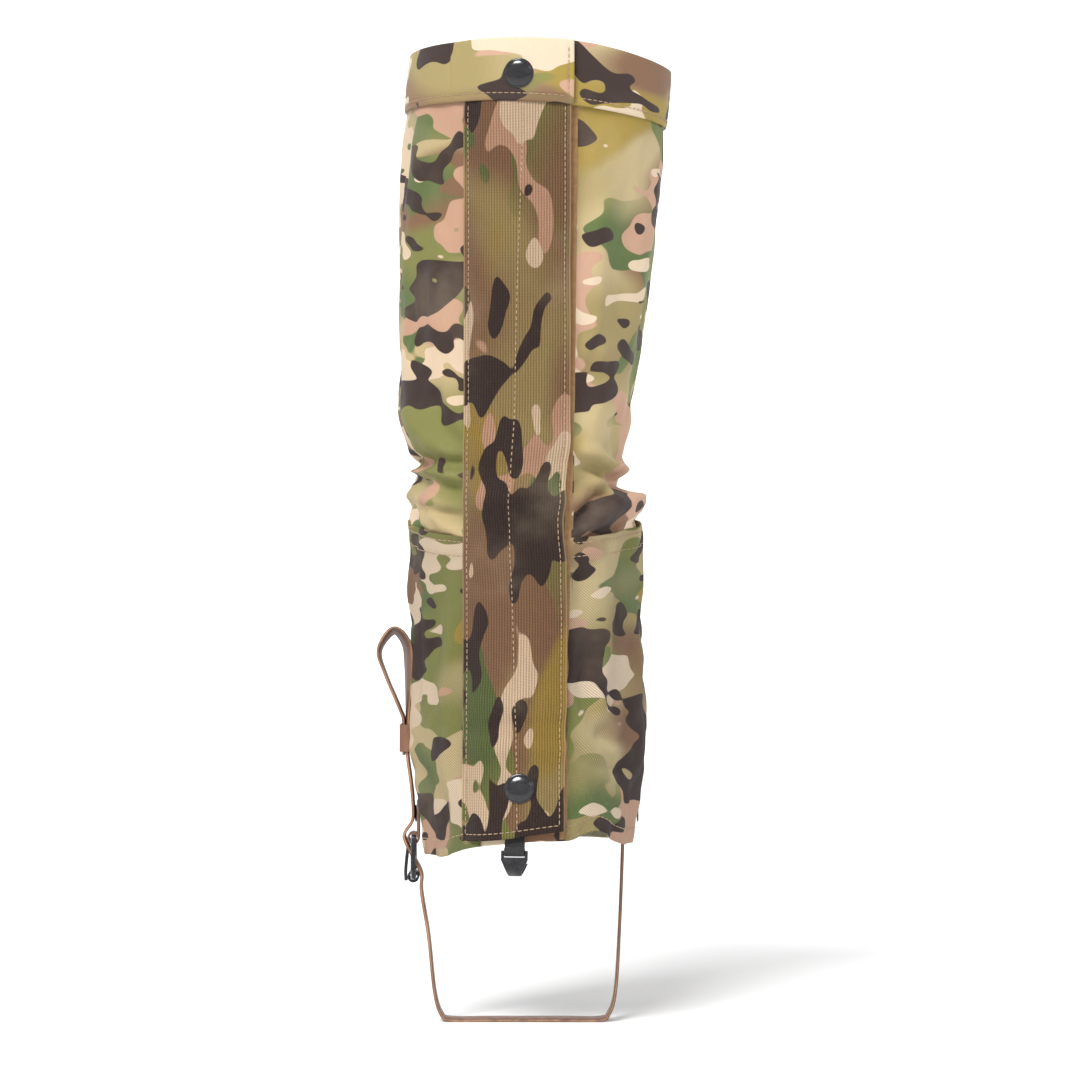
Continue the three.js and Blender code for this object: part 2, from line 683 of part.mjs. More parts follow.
const tabTopZ = PIVOT_Z + TAB_WIDTH / 2;
const tabX = wallX(-1, tabTopZ, LOWER_WALL) - TAB_STANDOFF - TAB_STRAP_WALL / 2;
const outerHeadX = tabX - TAB_STRAP_WALL / 2 - GAP; // inner face of the outer rivet's head
const buckleX = tabX - EYE_RADIUS + TAB_STRAP_WALL / 2;
const rollerZ = BAR_Z - BUCKLE_HEIGHT;
const behindRollerX = buckleX + ROLLER_RADIUS + GAP + STRAP_WALL / 2;
const overEyeX = buckleX - EYE_RADIUS - GAP - STRAP_WALL / 2;
const overHeadX = outerHeadX - RIVET_HEAD_HEIGHT - GAP - STRAP_WALL / 2;
const overRivetX = Math.min(overHeadX, overEyeX + STRAP_STEP);
const keeperX = wallX(-1, KEEPER_Z, LOWER_WALL) - GAP; // face next to the panel
const firstLayerX = keeperX - KEEPER_WALL - GAP - STRAP_WALL / 2;
const secondLayerX = firstLayerX - STRAP_WALL - GAP;
const anchorX = wallX(1, HEM_Z, 0) - ANCHOR_STANDOFF - STRAP_WALL / 2;

function makeFootStrap() {
  const under = -STRAP_WALL / 2;
  const corner = 5;
  const innerSide = smooth(
    [
      at(anchorX, PIVOT_Z + STRAP_WIDTH),
      at(anchorX, PIVOT_Z),
      at(anchorX - 0.5, 84),
      at(STRAP_SIDE + 2, 45),
      at(STRAP_SIDE, 14),
      at(STRAP_FLAT + corner, 2),
      at(STRAP_FLAT, under),
    ],
    22,
  );
  const outerSide = smooth(
    [
      at(-STRAP_FLAT, under),
      at(-STRAP_FLAT - corner, 2),
      at(-STRAP_SIDE, 14),
      at(-STRAP_SIDE - 3, 42),
      at(behindRollerX, rollerZ - 8),
      at(behindRollerX, rollerZ + 1),
      at((behindRollerX + overEyeX) / 2, (rollerZ + BAR_Z) / 2),
      at(overEyeX, BAR_Z - 1),
      at(overEyeX, BAR_Z + 3),
      at(overRivetX, PIVOT_Z - 3),
      at(overRivetX, PIVOT_Z + STRAP_WIDTH),
    ],
    40,
  );
  const whole = extrudeAlongY(stripShape([...innerSide, ...outerSide], STRAP_WALL), STRAP_WIDTH);
  const span = 4 * STRAP_SIDE;
  const trimmed = overlapOf(whole, extrudeAlongX(roundedEnd(STRAP_WIDTH, -STRAP_WIDTH), span));
  const slotWidth = PRONG_WIDTH + 2 * PRONG_CLEARANCE;
  const slot = new THREE.BoxGeometry(6 * STRAP_WALL, slotWidth, PRONG_SLOT);
  slot.translate(buckleX, 0, BAR_Z - PRONG_SLOT_DROP);
  const hole = cylinderAlongX(RIVET_HOLE_RADIUS, RIVET_HOLE_REACH).translate(anchorX, 0, PIVOT_Z);
  add("foot_strap", cut(trimmed, slot, hole), strapRubber);
}

function makeStrapTail() {
  const start = PIVOT_Z + STRAP_WIDTH / 2 + TAIL_GAP;
  const keeperTop = KEEPER_Z + KEEPER_HEIGHT / 2;
  const keeperBottom = KEEPER_Z - KEEPER_HEIGHT / 2;
  const outX = secondLayerX - TAIL_REACH;
  const route = smooth(
    [
      at(overRivetX, start),
      at((overRivetX + firstLayerX) / 2, (start + keeperBottom) / 2),
      at(firstLayerX, keeperBottom - 1),
      at(firstLayerX, keeperTop + 1),
      at(firstLayerX + 0.5, TAIL_TOP_Z - 22),
      at(firstLayerX - 0.5, TAIL_TOP_Z - 7),
      at((firstLayerX + outX) / 2, TAIL_TOP_Z),
      at(outX, TAIL_TOP_Z - 10),
      at(outX + 3, TAIL_TOP_Z - 22),
      at(secondLayerX - 2, keeperTop + 8),
      at(secondLayerX, keeperTop + 1),
      at(secondLayerX, keeperBottom - 2),
    ],
    44,
  );
  add("strap_tail", extrudeAlongY(stripShape(route, STRAP_WALL), STRAP_WIDTH), strapRubber);
}

function makeKeeper() {
  const inside = 2 * STRAP_WALL + 3 * GAP;
  const halfWidth = STRAP_WIDTH / 2 + KEEPER_SIDE_CLEARANCE;
  const rectangle = (Kind, right, left, half) => {
    const corners = [at(left, -half), at(right, -half), at(right, half), at(left, half)];
    return new Kind(corners);
  };
  const left = keeperX - 2 * KEEPER_WALL - inside;
  const shape = rectangle(THREE.Shape, keeperX, left, halfWidth + KEEPER_WALL);
  shape.holes.push(rectangle(THREE.Path, keeperX - KEEPER_WALL, left + KEEPER_WALL, halfWidth));
  const options = { depth: KEEPER_HEIGHT, bevelEnabled: false };
  const loop = new THREE.ExtrudeGeometry(shape, options);
  loop.translate(0, 0, KEEPER_Z - KEEPER_HEIGHT / 2);
  add("strap_keeper", loop, strapRubber);
}

// A rivet whose head lies against `headX` and whose shank reaches `endX`, with its burr past that.
function makeRivet(name, headX, endX) {
  const side = Math.sign(headX);
  const length = Math.abs(headX - endX);
  const rivet = lathe([
    [0, -length],
    [RIVET_SHANK_RADIUS, -length],
    [RIVET_SHANK_RADIUS, 0],
    [RIVET_HEAD_RADIUS, 0],
    [RIVET_HEAD_RADIUS - RIVET_HEAD_HEIGHT / 2, RIVET_HEAD_HEIGHT],
    [0, RIVET_HEAD_HEIGHT],
  ]);
  rivet.rotateZ((-side * Math.PI) / 2);
  const head = add(name, rivet, blackMetal);
  head.position.set(headX, 0, PIVOT_Z);
  const burr = add(`${name}_burr`, cylinderAlongX(RIVET_BURR_RADIUS, RIVET_HEAD_HEIGHT), blackMetal);
  burr.position.set(endX - side * (GAP + RIVET_HEAD_HEIGHT / 2), 0, PIVOT_Z);
}

function makeRivets() {
  // The wall leans in towards the hem, so the burr also clears it at its lowest edge.
  const burrClear = wallX(-1, PIVOT_Z - RIVET_BURR_RADIUS, 0) - GAP / 2;
  makeRivet("outer_rivet", outerHeadX, Math.max(wallX(-1, PIVOT_Z, 0) + GAP, burrClear));
  const outside = wallX(1, PIVOT_Z + RIVET_HEAD_RADIUS, LOWER_WALL) + GAP;
  makeRivet("inner_rivet", outside, anchorX - STRAP_WALL / 2);
}

function makeBuckle() {
  const group = new THREE.Group();
  group.position.set(buckleX, 0, BAR_Z);
  gaiter.add(group);

  const outer = BUCKLE_WIDTH / 2;
  const opening = outer - BUCKLE_BAR;
  const frameOutline = (Kind, halfWidth, top, bottom) =>
    new Kind([at(-halfWidth, bottom), at(halfWidth, bottom), at(halfWidth, top), at(-halfWidth, top)]);
  const half = BUCKLE_BAR / 2;
  const shape = frameOutline(THREE.Shape, outer, half, -BUCKLE_HEIGHT - half);
  shape.holes.push(frameOutline(THREE.Path, opening, -half, -BUCKLE_HEIGHT + half));
  add("buckle_frame", extrudeAlongX(shape, BUCKLE_BAR), blackMetal, group);

  const rollerLength = 2 * (opening - ROLLER_CLEARANCE);
  const roller = extrudeAlongY(ringShape(ROLLER_RADIUS, EYE_BORE), rollerLength);
  add("buckle_roller", roller, blackMetal, group).position.set(0, 0, -BUCKLE_HEIGHT);

  const tabStrip = new THREE.BoxGeometry(TAB_STRAP_WALL, TAB_WIDTH, tabTopZ - BAR_Z);
  tabStrip.translate(tabX - buckleX, 0, (tabTopZ - BAR_Z) / 2);
  const tabEye = extrudeAlongY(ringShape(EYE_RADIUS, EYE_BORE), TAB_WIDTH);
  const bore = cylinderAlongY(EYE_BORE, BUCKLE_WIDTH);
  const rounded = extrudeAlongX(roundedEnd(TAB_WIDTH, BAR_Z - 2 * EYE_RADIUS), 8 * EYE_RADIUS);
  rounded.translate(0, 0, -BAR_Z);
  const prongEyeWidth = PRONG_WIDTH + 2 * PRONG_CLEARANCE;
  const notch = new THREE.BoxGeometry(4 * EYE_RADIUS, prongEyeWidth, 2 * EYE_RADIUS + 2);
  const hole = cylinderAlongX(RIVET_HOLE_RADIUS, RIVET_HOLE_REACH);
  hole.translate(tabX - buckleX, 0, PIVOT_Z - BAR_Z);
  const tab = cut(overlapOf(join(tabStrip, tabEye), rounded), bore, notch, hole);
  add("buckle_tab", tab, strapRubber, group);

  const restX = -ROLLER_RADIUS - GAP - PRONG_WALL / 2;
  const shaft = smooth(
    [
      at(-EYE_RADIUS + PRONG_WALL / 2, -1),
      at(-EYE_RADIUS + 0.3, -EYE_RADIUS - 1),
      at(restX, -BUCKLE_HEIGHT + ROLLER_RADIUS),
      at(restX + 0.2, -BUCKLE_HEIGHT - ROLLER_RADIUS + 0.5),
    ],
    8,
  );
  const eye = extrudeAlongY(ringShape(EYE_RADIUS, EYE_BORE), PRONG_WIDTH);
  const prong = join(eye, extrudeAlongY(stripShape(shaft, PRONG_WALL), PRONG_WIDTH));
  add("buckle_prong", cut(prong, bore), blackMetal, group);
}

makePanels();
makeCollar();
makeAnkleElastic();
makeSeamTape();
makePlacket();
add("loop_tape", tapeGeometry(PLACKET_WALL + TAPE_GAP), webbing);
add("hook_tape", tapeGeometry(flapInside - TAPE_GAP - TAPE_WALL), webbing);
makeFlap();
makeSnap("top", SNAP_TOP_Z, TAB_WALL);
makeSnap("bottom", SNAP_BOTTOM_Z, FLAP_WALL);
makeLaceHook();
makeFootStrap();
makeStrapTail();
makeKeeper();
makeRivets();
makeBuckle();

export default gaiter;
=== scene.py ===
"""The looks of a worn hiking gaiter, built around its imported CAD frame. Lengths are in metres."""

import math

import bmesh
import bpy
import numpy as np
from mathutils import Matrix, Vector


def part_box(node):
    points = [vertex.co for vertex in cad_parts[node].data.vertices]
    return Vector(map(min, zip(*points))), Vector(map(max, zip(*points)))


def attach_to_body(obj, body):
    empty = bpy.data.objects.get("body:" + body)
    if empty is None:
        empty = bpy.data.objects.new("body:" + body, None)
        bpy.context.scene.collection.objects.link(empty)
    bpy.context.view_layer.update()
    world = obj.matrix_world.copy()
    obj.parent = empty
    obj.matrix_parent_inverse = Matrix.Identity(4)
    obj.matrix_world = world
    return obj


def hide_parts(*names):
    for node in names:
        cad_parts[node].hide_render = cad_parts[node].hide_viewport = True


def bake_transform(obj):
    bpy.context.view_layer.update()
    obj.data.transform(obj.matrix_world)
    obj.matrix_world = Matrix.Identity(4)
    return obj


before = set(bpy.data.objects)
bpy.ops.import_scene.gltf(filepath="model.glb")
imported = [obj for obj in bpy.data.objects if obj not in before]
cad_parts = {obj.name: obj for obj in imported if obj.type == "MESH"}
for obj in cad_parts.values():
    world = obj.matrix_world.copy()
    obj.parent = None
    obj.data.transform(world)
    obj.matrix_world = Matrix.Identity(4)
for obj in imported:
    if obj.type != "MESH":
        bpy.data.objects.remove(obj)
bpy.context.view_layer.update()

MM = 0.001
GAP = 0.3 * MM
FULL_TURN = 2 * math.pi


def box_low(node):
    return np.array(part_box(node)[0])


def box_high(node):
    return np.array(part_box(node)[1])


def unit(value):
    return np.clip(value, 0, 1)


def ease(t):
    """0 to 1, with a smooth start and end."""
    return t * t * (3 - 2 * t)


def bump_at(value, centre, width):
    """A smooth bump, 1 at the centre."""
    return np.exp(-(((value - centre) / width) ** 2))


# ---- Places taken from the frame ----

HEM_Z = box_low("lower_outer_panel")[2]
TOP_Z = 495 * MM
COLLAR_Z = 463 * MM
ANKLE_Z = 281 * MM
SEAM_Z = 241 * MM
SEAM_RISE = 18 * MM
HEM_RISE = 9 * MM
HEM_RISE_ANGLE = 0.35
COLLAR_TILT = 4 * MM
FOLD_X = -28.5 * MM
FOLD_DEPTH_HEM = 60 * MM
FOLD_DEPTH_TOP = 48 * MM
FLAP_BOTTOM_Z = box_low("storm_flap")[2]
FLAP_RIGHT_HEM = 17.5 * MM
FLAP_RIGHT_TOP = 22.5 * MM
PLACKET_REVEAL = 4.5 * MM
PLACKET_LEFT_X = box_low("underlap_placket")[0] + 0.7 * MM
SNAP_X = -2 * MM
SNAP_BOTTOM_Z = 121 * MM
FLAP_WIDTH = 51 * MM

# The tube's sections, as in the CAD model: height, centre across, width across, depth behind.
SECTIONS = np.array([
    (86, 2, 102, 76),
    (110, 2, 107, 76),
    (138, 1, 114, 74),
    (194, 0.5, 114, 68),
    (257, -0.5, 113, 58),
    (281, -2.5, 105, 53),
    (309, -4.5, 115, 58),
    (343, -2.6, 120.5, 68),
    (415, 2.3, 130, 76),
    (463, 5.4, 129, 74),
    (495, 8, 129, 70),
]) * MM


# ---- The shape of the tube ----


def height_share(z):
    """0 at the hem and 1 at the top."""
    return (z - HEM_Z) / (TOP_Z - HEM_Z)


def section(z):
    """Centre, half width, front depth and back depth of the tube at heights z."""
    knots = SECTIONS[:, 0]
    above = np.minimum(np.arange(len(knots)) + 1, len(knots) - 1)
    below = np.maximum(np.arange(len(knots)) - 1, 0)
    slopes = (SECTIONS[above] - SECTIONS[below]) / (knots[above] - knots[below])[:, None]
    i = np.clip(np.searchsorted(knots, z) - 1, 0, len(knots) - 2)
    span = knots[i + 1] - knots[i]
    t = unit((z - knots[i]) / span)[..., None]
    rise = ease(t)
    low_pull = t * (1 - t) ** 2 * span[..., None] * slopes[i]
    high_pull = t * t * (t - 1) * span[..., None] * slopes[i + 1]
    row = SECTIONS[i] * (1 - rise) + SECTIONS[i + 1] * rise + low_pull + high_pull
    centre, half, back = row[..., 1], row[..., 2] / 2, row[..., 3]
    fold_depth = FOLD_DEPTH_HEM + (FOLD_DEPTH_TOP - FOLD_DEPTH_HEM) * height_share(z)
    front = fold_depth / np.cos(np.arcsin((FOLD_X - centre) / half))
    return centre, half, front, back


def skin(angle, z, offset=0.0):
    """Points at angles round the leg (0 in front, growing towards +X) and heights."""
    angle, z = np.broadcast_arrays(np.asarray(angle, float), np.asarray(z, float))
    centre, half, front, back = section(z)
    depth = np.where(np.cos(angle) > 0, front, back)
    normal = np.stack([np.sin(angle) / half, -np.cos(angle) / depth, 0 * z], -1)
    normal /= np.linalg.norm(normal, axis=-1, keepdims=True)
    point = np.stack([centre + half * np.sin(angle), -depth * np.cos(angle), z], -1)
    return point + normal * np.asarray(offset)[..., None]


def angle_at(x, z):
    """Angle round the leg where the front of the tube is at x."""
    z = np.asarray(z, float)
    centre, half, _, _ = section(z)
    return np.arcsin(np.clip((x - centre) / half, -1, 1))


def front_x(angle, z):
    """X of the tube at an angle on its front half, and far away on its back half."""
    centre, half, _, _ = section(z)
    return np.where(np.cos(angle) > -0.1, centre + half * np.sin(angle), 1.0)


def hem_z(angle):
    """The hem hangs lower beside the flap, on the outer side."""
    level = HEM_Z + HEM_RISE * (1 + np.cos(angle - HEM_RISE_ANGLE)) / 2
    x = front_x(angle, 0 * angle + HEM_Z)
    sag = 6.5 * MM * bump_at(x, -42 * MM, 12 * MM) + 3 * MM * bump_at(x, 50 * MM, 9 * MM)
    lift = 6 * MM * bump_at(x, 33 * MM, 8 * MM)
    return level - sag + lift + 0.7 * MM * np.sin(5 * angle + 1)


def seam_z(angle):
    return SEAM_Z + SEAM_RISE * (1 - np.cos(angle)) / 2


def collar_z(angle):
    """The collar's edges bow up a little in front and behind."""
    return COLLAR_Z + 1.5 * MM - COLLAR_TILT * np.sin(angle) - 3.5 * MM * np.sin(angle) ** 2


def top_z(angle):
    bow = 2 * MM - 6 * MM * np.sin(angle) ** 2
    return TOP_Z + bow - COLLAR_TILT * np.sin(angle) + 0.5 * MM * np.sin(3 * angle + 0.4)


def placket_right_x(z):
    return FLAP_RIGHT_HEM + (FLAP_RIGHT_TOP - FLAP_RIGHT_HEM) * height_share(z) + PLACKET_REVEAL


def flap_right_x(z):
    """The flap's free edge is pulled in at the ankle."""
    return placket_right_x(z) - PLACKET_REVEAL - 2.4 * MM * bump_at(z, 262 * MM, 32 * MM)


# ---- How the cloth folds ----

ARC_RADIUS = 57 * MM  # turns an angle round the leg into a length
RIPPLE_WAVES = 18


def ripples(seed, angle, z, across, along):
    """A smooth random field of about unit height, with folds `across` wide and `along` tall,
    in mm."""
    random = np.random.default_rng(seed)
    total = 0 * angle
    for _ in range(RIPPLE_WAVES):
        wave_x = round(FULL_TURN * ARC_RADIUS / (across * MM) * random.uniform(0.6, 1.4))
        wave_z = FULL_TURN / (along * MM) * random.uniform(-1.2, 1.2)
        total = total + np.cos(wave_x * angle + wave_z * z + random.uniform(0, FULL_TURN))
    return total / math.sqrt(RIPPLE_WAVES / 2)


def creases(angle, z, rows):
    """Ridges (or with a negative height valleys) on the tube's front. Each row is the points
    (x, z) that one follows, its width and its height, in mm."""
    x, total = front_x(angle, z), 0
    for points, width, height in rows:
        nearest = 0 * x + 1.0
        for start, end in zip(points, points[1:]):
            (ax, az), (bx, bz) = np.array([start, end]) * MM
            run, rise = bx - ax, bz - az
            along = unit(((x - ax) * run + (z - az) * rise) / (run ** 2 + rise ** 2))
            distance = np.hypot(x - ax - along * run, z - az - along * rise)
            nearest = np.minimum(nearest, distance)
        total = total + height * MM * bump_at(nearest, 0, width * MM)
    return total


def waves(z, rows):
    """Level ridges: each row is a height, where it is, and how wide, in mm."""
    return sum(height * MM * bump_at(z, place * MM, width * MM) for height, place, width in rows)


ANKLE_CREASES = [
    # Inner side: a roll from the flap down to the side, and the deep folds that fan out below it.
    ([(20, 291), (33, 290), (46, 284), (58, 279)], 3.6, 3.0),
    ([(20, 284), (34, 281), (47, 275), (60, 272)], 2.6, -2.6),
    ([(19, 243), (30, 252), (42, 261), (58, 266)], 4.4, 3.2),
    ([(20, 250), (29, 260), (37, 268)], 2.2, -3.4),
    ([(22, 262), (31, 273), (41, 277)], 3.0, 1.8),
    ([(21, 246), (36, 249), (56, 256)], 2.2, -1.8),
    # Outer side: a level ridge under the pinch, and tucks that run in to the fold line.
    ([(-28, 277), (-42, 279), (-58, 281)], 2.4, 2.8),
    ([(-27, 284), (-40, 286), (-56, 288)], 2.6, -2.2),
    ([(-28, 270), (-40, 272), (-54, 275)], 2.0, -2.6),
    ([(-29, 263), (-40, 264), (-54, 268)], 3.0, 2.0),
    ([(-28, 257), (-38, 259), (-48, 262)], 2.0, -1.8),
    ([(-29, 247), (-38, 252), (-46, 262)], 2.6, 2.4),
    ([(-29, 244), (-40, 246), (-52, 251)], 1.8, -2.2),
    ([(-30, 292), (-40, 302), (-46, 318)], 4.0, -1.8),
    ([(-38, 288), (-49, 296), (-56, 310)], 4.6, 1.8),
]
CALF_CREASES = [
    ([(24, 452), (29, 420), (27, 392)], 4.5, -1.6),
    ([(31, 446), (36, 405), (34, 355)], 6.0, 1.4),
    ([(50, 430), (47, 380), (51, 330)], 7.0, -1.0),
    ([(-36, 452), (-41, 428), (-39, 404)], 4.0, -1.4),
    ([(-47, 448), (-50, 400), (-46, 350)], 7.0, 1.0),
]
BOOT_CREASES = [
    ([(24, 226), (29, 200), (27, 172), (36, 148)], 4.4, -3.0),
    ([(33, 222), (38, 192), (35, 166), (44, 150)], 4.6, 2.6),
    ([(22, 152), (34, 139), (50, 141)], 3.6, 1.6),
    ([(23, 143), (36, 131), (50, 131)], 3.2, -1.5),
    ([(46, 226), (50, 190), (47, 160)], 7.0, -1.2),
    ([(-50, 235), (-44, 200), (-47, 165)], 6.0, -1.2),
    ([(-34, 205), (-37, 160), (-33, 112)], 5.0, 1.6),
    ([(-58, 132), (-44, 120), (-31, 104)], 5.0, -1.4),
    ([(-36, 236), (-40, 216), (-34, 196)], 4.0, -1.3),
]


def upper_folds(angle, z):
    """How far the light upper fabric stands out from the smooth tube."""
    outer, inner = unit(-np.sin(angle)) ** 2, unit(np.sin(angle)) ** 2
    back = unit(-np.cos(angle))
    total = 1.0 * MM * ripples(3, angle, z, 42, 170)
    gather = bump_at(z, ANKLE_Z - 3 * MM, 15 * MM)
    total += (0.9 + 1.7 * back) * MM * gather * ripples(5, angle, z, 34, 15)
    above_ankle = bump_at(z, ANKLE_Z + 38 * MM, 30 * MM)
    total += 0.9 * MM * above_ankle * ripples(8, angle, z, 60, 34)
    total += outer * waves(z, [(1.4, 303, 11), (-4.2, 283.5, 4.5), (1.8, 273, 6)])
    total += inner * waves(z, [(-1.6, 290, 9), (-4.6, 274.5, 5.5), (3.4, 261, 6)])
    total += 1.45 * creases(angle, z, ANKLE_CREASES) + creases(angle, z, CALF_CREASES)
    total += 0.22 * MM * ripples(21, angle, z, 13, 26)
    near_ankle = bump_at(z, 272 * MM, 24 * MM)
    total += 0.45 * MM * near_ankle * ripples(23, angle, z, 17, 12)
    return np.clip(total, -6.5 * MM, 7 * MM)


def upper_overhang(angle, z):
    """How far a fold hangs over what is under it, or stands up in front of what is above it."""
    inner = unit(np.sin(angle)) ** 2 * waves(z, [(4.5, 264, 4.5), (-2.5, 290, 7)])
    return inner + unit(-np.sin(angle)) ** 2 * waves(z, [(2.5, 276, 4)])


def lower_folds(angle, z):
    """How far the stiffer lower fabric stands out from the smooth tube."""
    total = 0.8 * MM * ripples(11, angle, z, 52, 130)
    total += 0.55 * MM * ripples(13, angle, z, 24, 40)
    total += 0.2 * MM * ripples(25, angle, z, 12, 18)
    total += creases(angle, z, BOOT_CREASES)
    return np.clip(1.25 * total, -3.6 * MM, 5.5 * MM)


def lower_hold(side, angle, z):
    """The share of the lower panel's folds that is left beside the flap."""
    if side == "outer":
        return np.clip((angle_at(PLACKET_LEFT_X, z) + FULL_TURN - angle) / 0.3, 0.05, 1)
    return np.clip((angle - inner_front(z)) / 0.12, 0.2, 1)


def flap_folds(angle, z):
    """The flap's soft waves where the ankle pushes it, and near the bottom snap."""
    return 0.35 * MM * ripples(17, angle, z, 60, 60) + waves(z, [
        (3.2, 265, 6), (-1.4, 280, 4), (-1.4, 250, 4), (1.7, 236, 8), (1.6, 294, 8),
        (-1.5, 151, 4), (1.3, 141, 5), (1.2, 164, 8),
    ])


def collar_folds(angle, z):
    return 0.5 * MM * ripples(19, angle, z, 70, 200)


# ---- Making meshes ----


def make_object(name, points, faces, materials, uvs=None, face_materials=None):
    mesh = bpy.data.meshes.new(name)
    mesh.from_pydata(np.asarray(points, float).tolist(), [], [list(map(int, f)) for f in faces])
    for look in materials:
        mesh.materials.append(look)
    if face_materials is not None:
        mesh.polygons.foreach_set("material_index", np.asarray(face_materials, np.int32))
    if uvs is not None:
        layer = mesh.uv_layers.new(name="Cloth")
        corners = np.empty(len(mesh.loops), np.int32)
        mesh.loops.foreach_get("vertex_index", corners)
        layer.data.foreach_set("uv", np.asarray(uvs, np.float32)[corners].ravel())
    mesh.polygons.foreach_set("use_smooth", np.ones(len(mesh.polygons), bool))
    mesh.update()
    piece = bpy.data.objects.new(name, mesh)
    bpy.context.scene.collection.objects.link(piece)
    return piece


def spaced(length, step, rows, edge):
    """Places from 0 to length, `step` apart and closer at both ends and round each stitch row."""
    places = list(np.linspace(0, length, max(3, round(length / step) + 1)))
    for part in (0.15, 0.45, 1.0, 2.2):
        places += [edge * part, length - edge * part]
    for row in rows:
        places += [row + shift * MM for shift in (-1.3, -0.7, 0, 0.7, 1.3)]
    places = np.unique(np.clip(places, 0, length))
    kept = [places[0]]
    for place in places[1:]:
        if place - kept[-1] > 0.05 * MM:
            kept.append(place)
    kept[-1] = length
    return np.array(kept)


def unit_vectors(vectors):
    return vectors / np.maximum(np.linalg.norm(vectors, axis=-1, keepdims=True), 1e-12)


def path_lengths(line):
    """The distance along a line at each of its points."""
    return np.concatenate([[0], np.cumsum(np.linalg.norm(np.diff(line, axis=0), axis=1))])


def tube_faces(rings, sides, first=0):
    """The faces of a closed tube: a band between each two rings, and a cap at each end."""
    faces = []
    for ring in range(rings - 1):
        for k in range(sides):
            a = first + ring * sides + k
            b = first + ring * sides + (k + 1) % sides
            faces.append((a, b, b + sides, a + sides))
    last = first + (rings - 1) * sides
    faces.append(tuple(range(first + sides - 1, first - 1, -1)))
    faces.append(tuple(range(last, last + sides)))
    return faces


def lathe(profile, segments):
    """Points and faces of (radius, height) turned round Z. A radius of 0 is one point."""
    points, faces, rows = [], [], []
    for radius, height in profile:
        count = segments if radius else 1
        rows.append([len(points) + k % count for k in range(segments + 1)])
        for k in range(count):
            turn = FULL_TURN * k / segments
            points.append((radius * math.cos(turn), radius * math.sin(turn), height))
    for low, high in zip(rows, rows[1:]):
        for k in range(segments):
            corners = (low[k], low[k + 1], high[k + 1], high[k])
            faces.append(tuple(dict.fromkeys(corners)))
    return np.array(points), faces


class Sheet:
    """A rectangular piece of cloth: place(u, v) gives its outer face, for u and v from 0 to 1.

    width and height are its size, and u_rows and v_rows are the stitch rows' distances from its
    left and bottom edges."""

    def __init__(self, name, place, width, height, u_rows=(), v_rows=()):
        self.name = name
        self.place = place
        self.width = width
        self.height = height
        self.u_rows = u_rows
        self.v_rows = v_rows

    def build(self, thickness, look, inside, step=2 * MM, uv_origin=(0.0, 0.0)):
        """The closed sheet, with round edges."""
        radius = thickness / 2
        u = spaced(self.width, step, self.u_rows, radius) / self.width
        v = spaced(self.height, step, self.v_rows, radius) / self.height
        uu, vv = np.meshgrid(u, v, indexing="ij")
        outer = self.place(uu, vv)
        normal = unit_vectors(np.cross(np.gradient(outer, axis=0), np.gradient(outer, axis=1)))
        x, y = uu * self.width, vv * self.height
        border = np.minimum(np.minimum(x, self.width - x), np.minimum(y, self.height - y))
        swell = np.sqrt(1 - (1 - unit(border / radius)) ** 2)[..., None] * radius
        groove = 0 * x
        for distance, rows in ((x, self.u_rows), (y, self.v_rows)):
            for row in rows:
                groove += bump_at(distance, row, GROOVE_WIDTH)
        middle = outer - normal * (radius + THREAD_SEAT * np.minimum(groove, 1)[..., None])
        columns, rows = uu.shape
        outer_index = np.arange(columns * rows).reshape(columns, rows)
        inner_index = outer_index.copy()
        middle_index = inner_index[1:-1, 1:-1]
        middle_index[:] = columns * rows + np.arange(middle_index.size).reshape(middle_index.shape)
        points = np.concatenate([
            (middle + normal * swell).reshape(-1, 3),
            (middle - normal * swell)[1:-1, 1:-1].reshape(-1, 3),
        ])
        uv = np.stack([x + uv_origin[0], y + uv_origin[1]], -1)
        uvs = np.concatenate([uv.reshape(-1, 2), uv[1:-1, 1:-1].reshape(-1, 2)])

        def quads(index):
            corners = [index[:-1, :-1], index[1:, :-1], index[1:, 1:], index[:-1, 1:]]
            return np.stack(corners, -1).reshape(-1, 4)

        front, back = quads(outer_index), quads(inner_index)[:, ::-1]
        faces = np.concatenate([front, back])
        sides = np.repeat([0, 1], [len(front), len(back)])
        return make_object(self.name, points, faces, [look, inside], uvs, sides)

    def line(self, start, end):
        """Points and outward directions along a straight line, for a stitch row. Its ends are
        in metres from the left and bottom edges."""
        size = (self.width, self.height)
        start, end = np.array(start) / size, np.array(end) / size
        length = np.hypot(*((end - start) * size))
        t = np.linspace(0, 1, max(2, int(length / (0.4 * MM))))[:, None]
        u, v = (start + (end - start) * t).T
        small = 1e-3
        across = self.place(u + small, v) - self.place(u - small, v)
        up = self.place(u, v + small) - self.place(u, v - small)
        normal = unit_vectors(np.cross(across, up))
        return self.place(u, v) - normal * THREAD_SEAT, normal


THREAD_SEAT = 0.3 * MM  # how deep a stitch row is pulled into its cloth
GROOVE_WIDTH = 0.8 * MM
STITCH_PITCH = 3.1 * MM
STITCH_LENGTH = 2.5 * MM
THREAD_RADIUS = 0.27 * MM
THREAD_SIDES = 6
THREAD_RINGS = 6


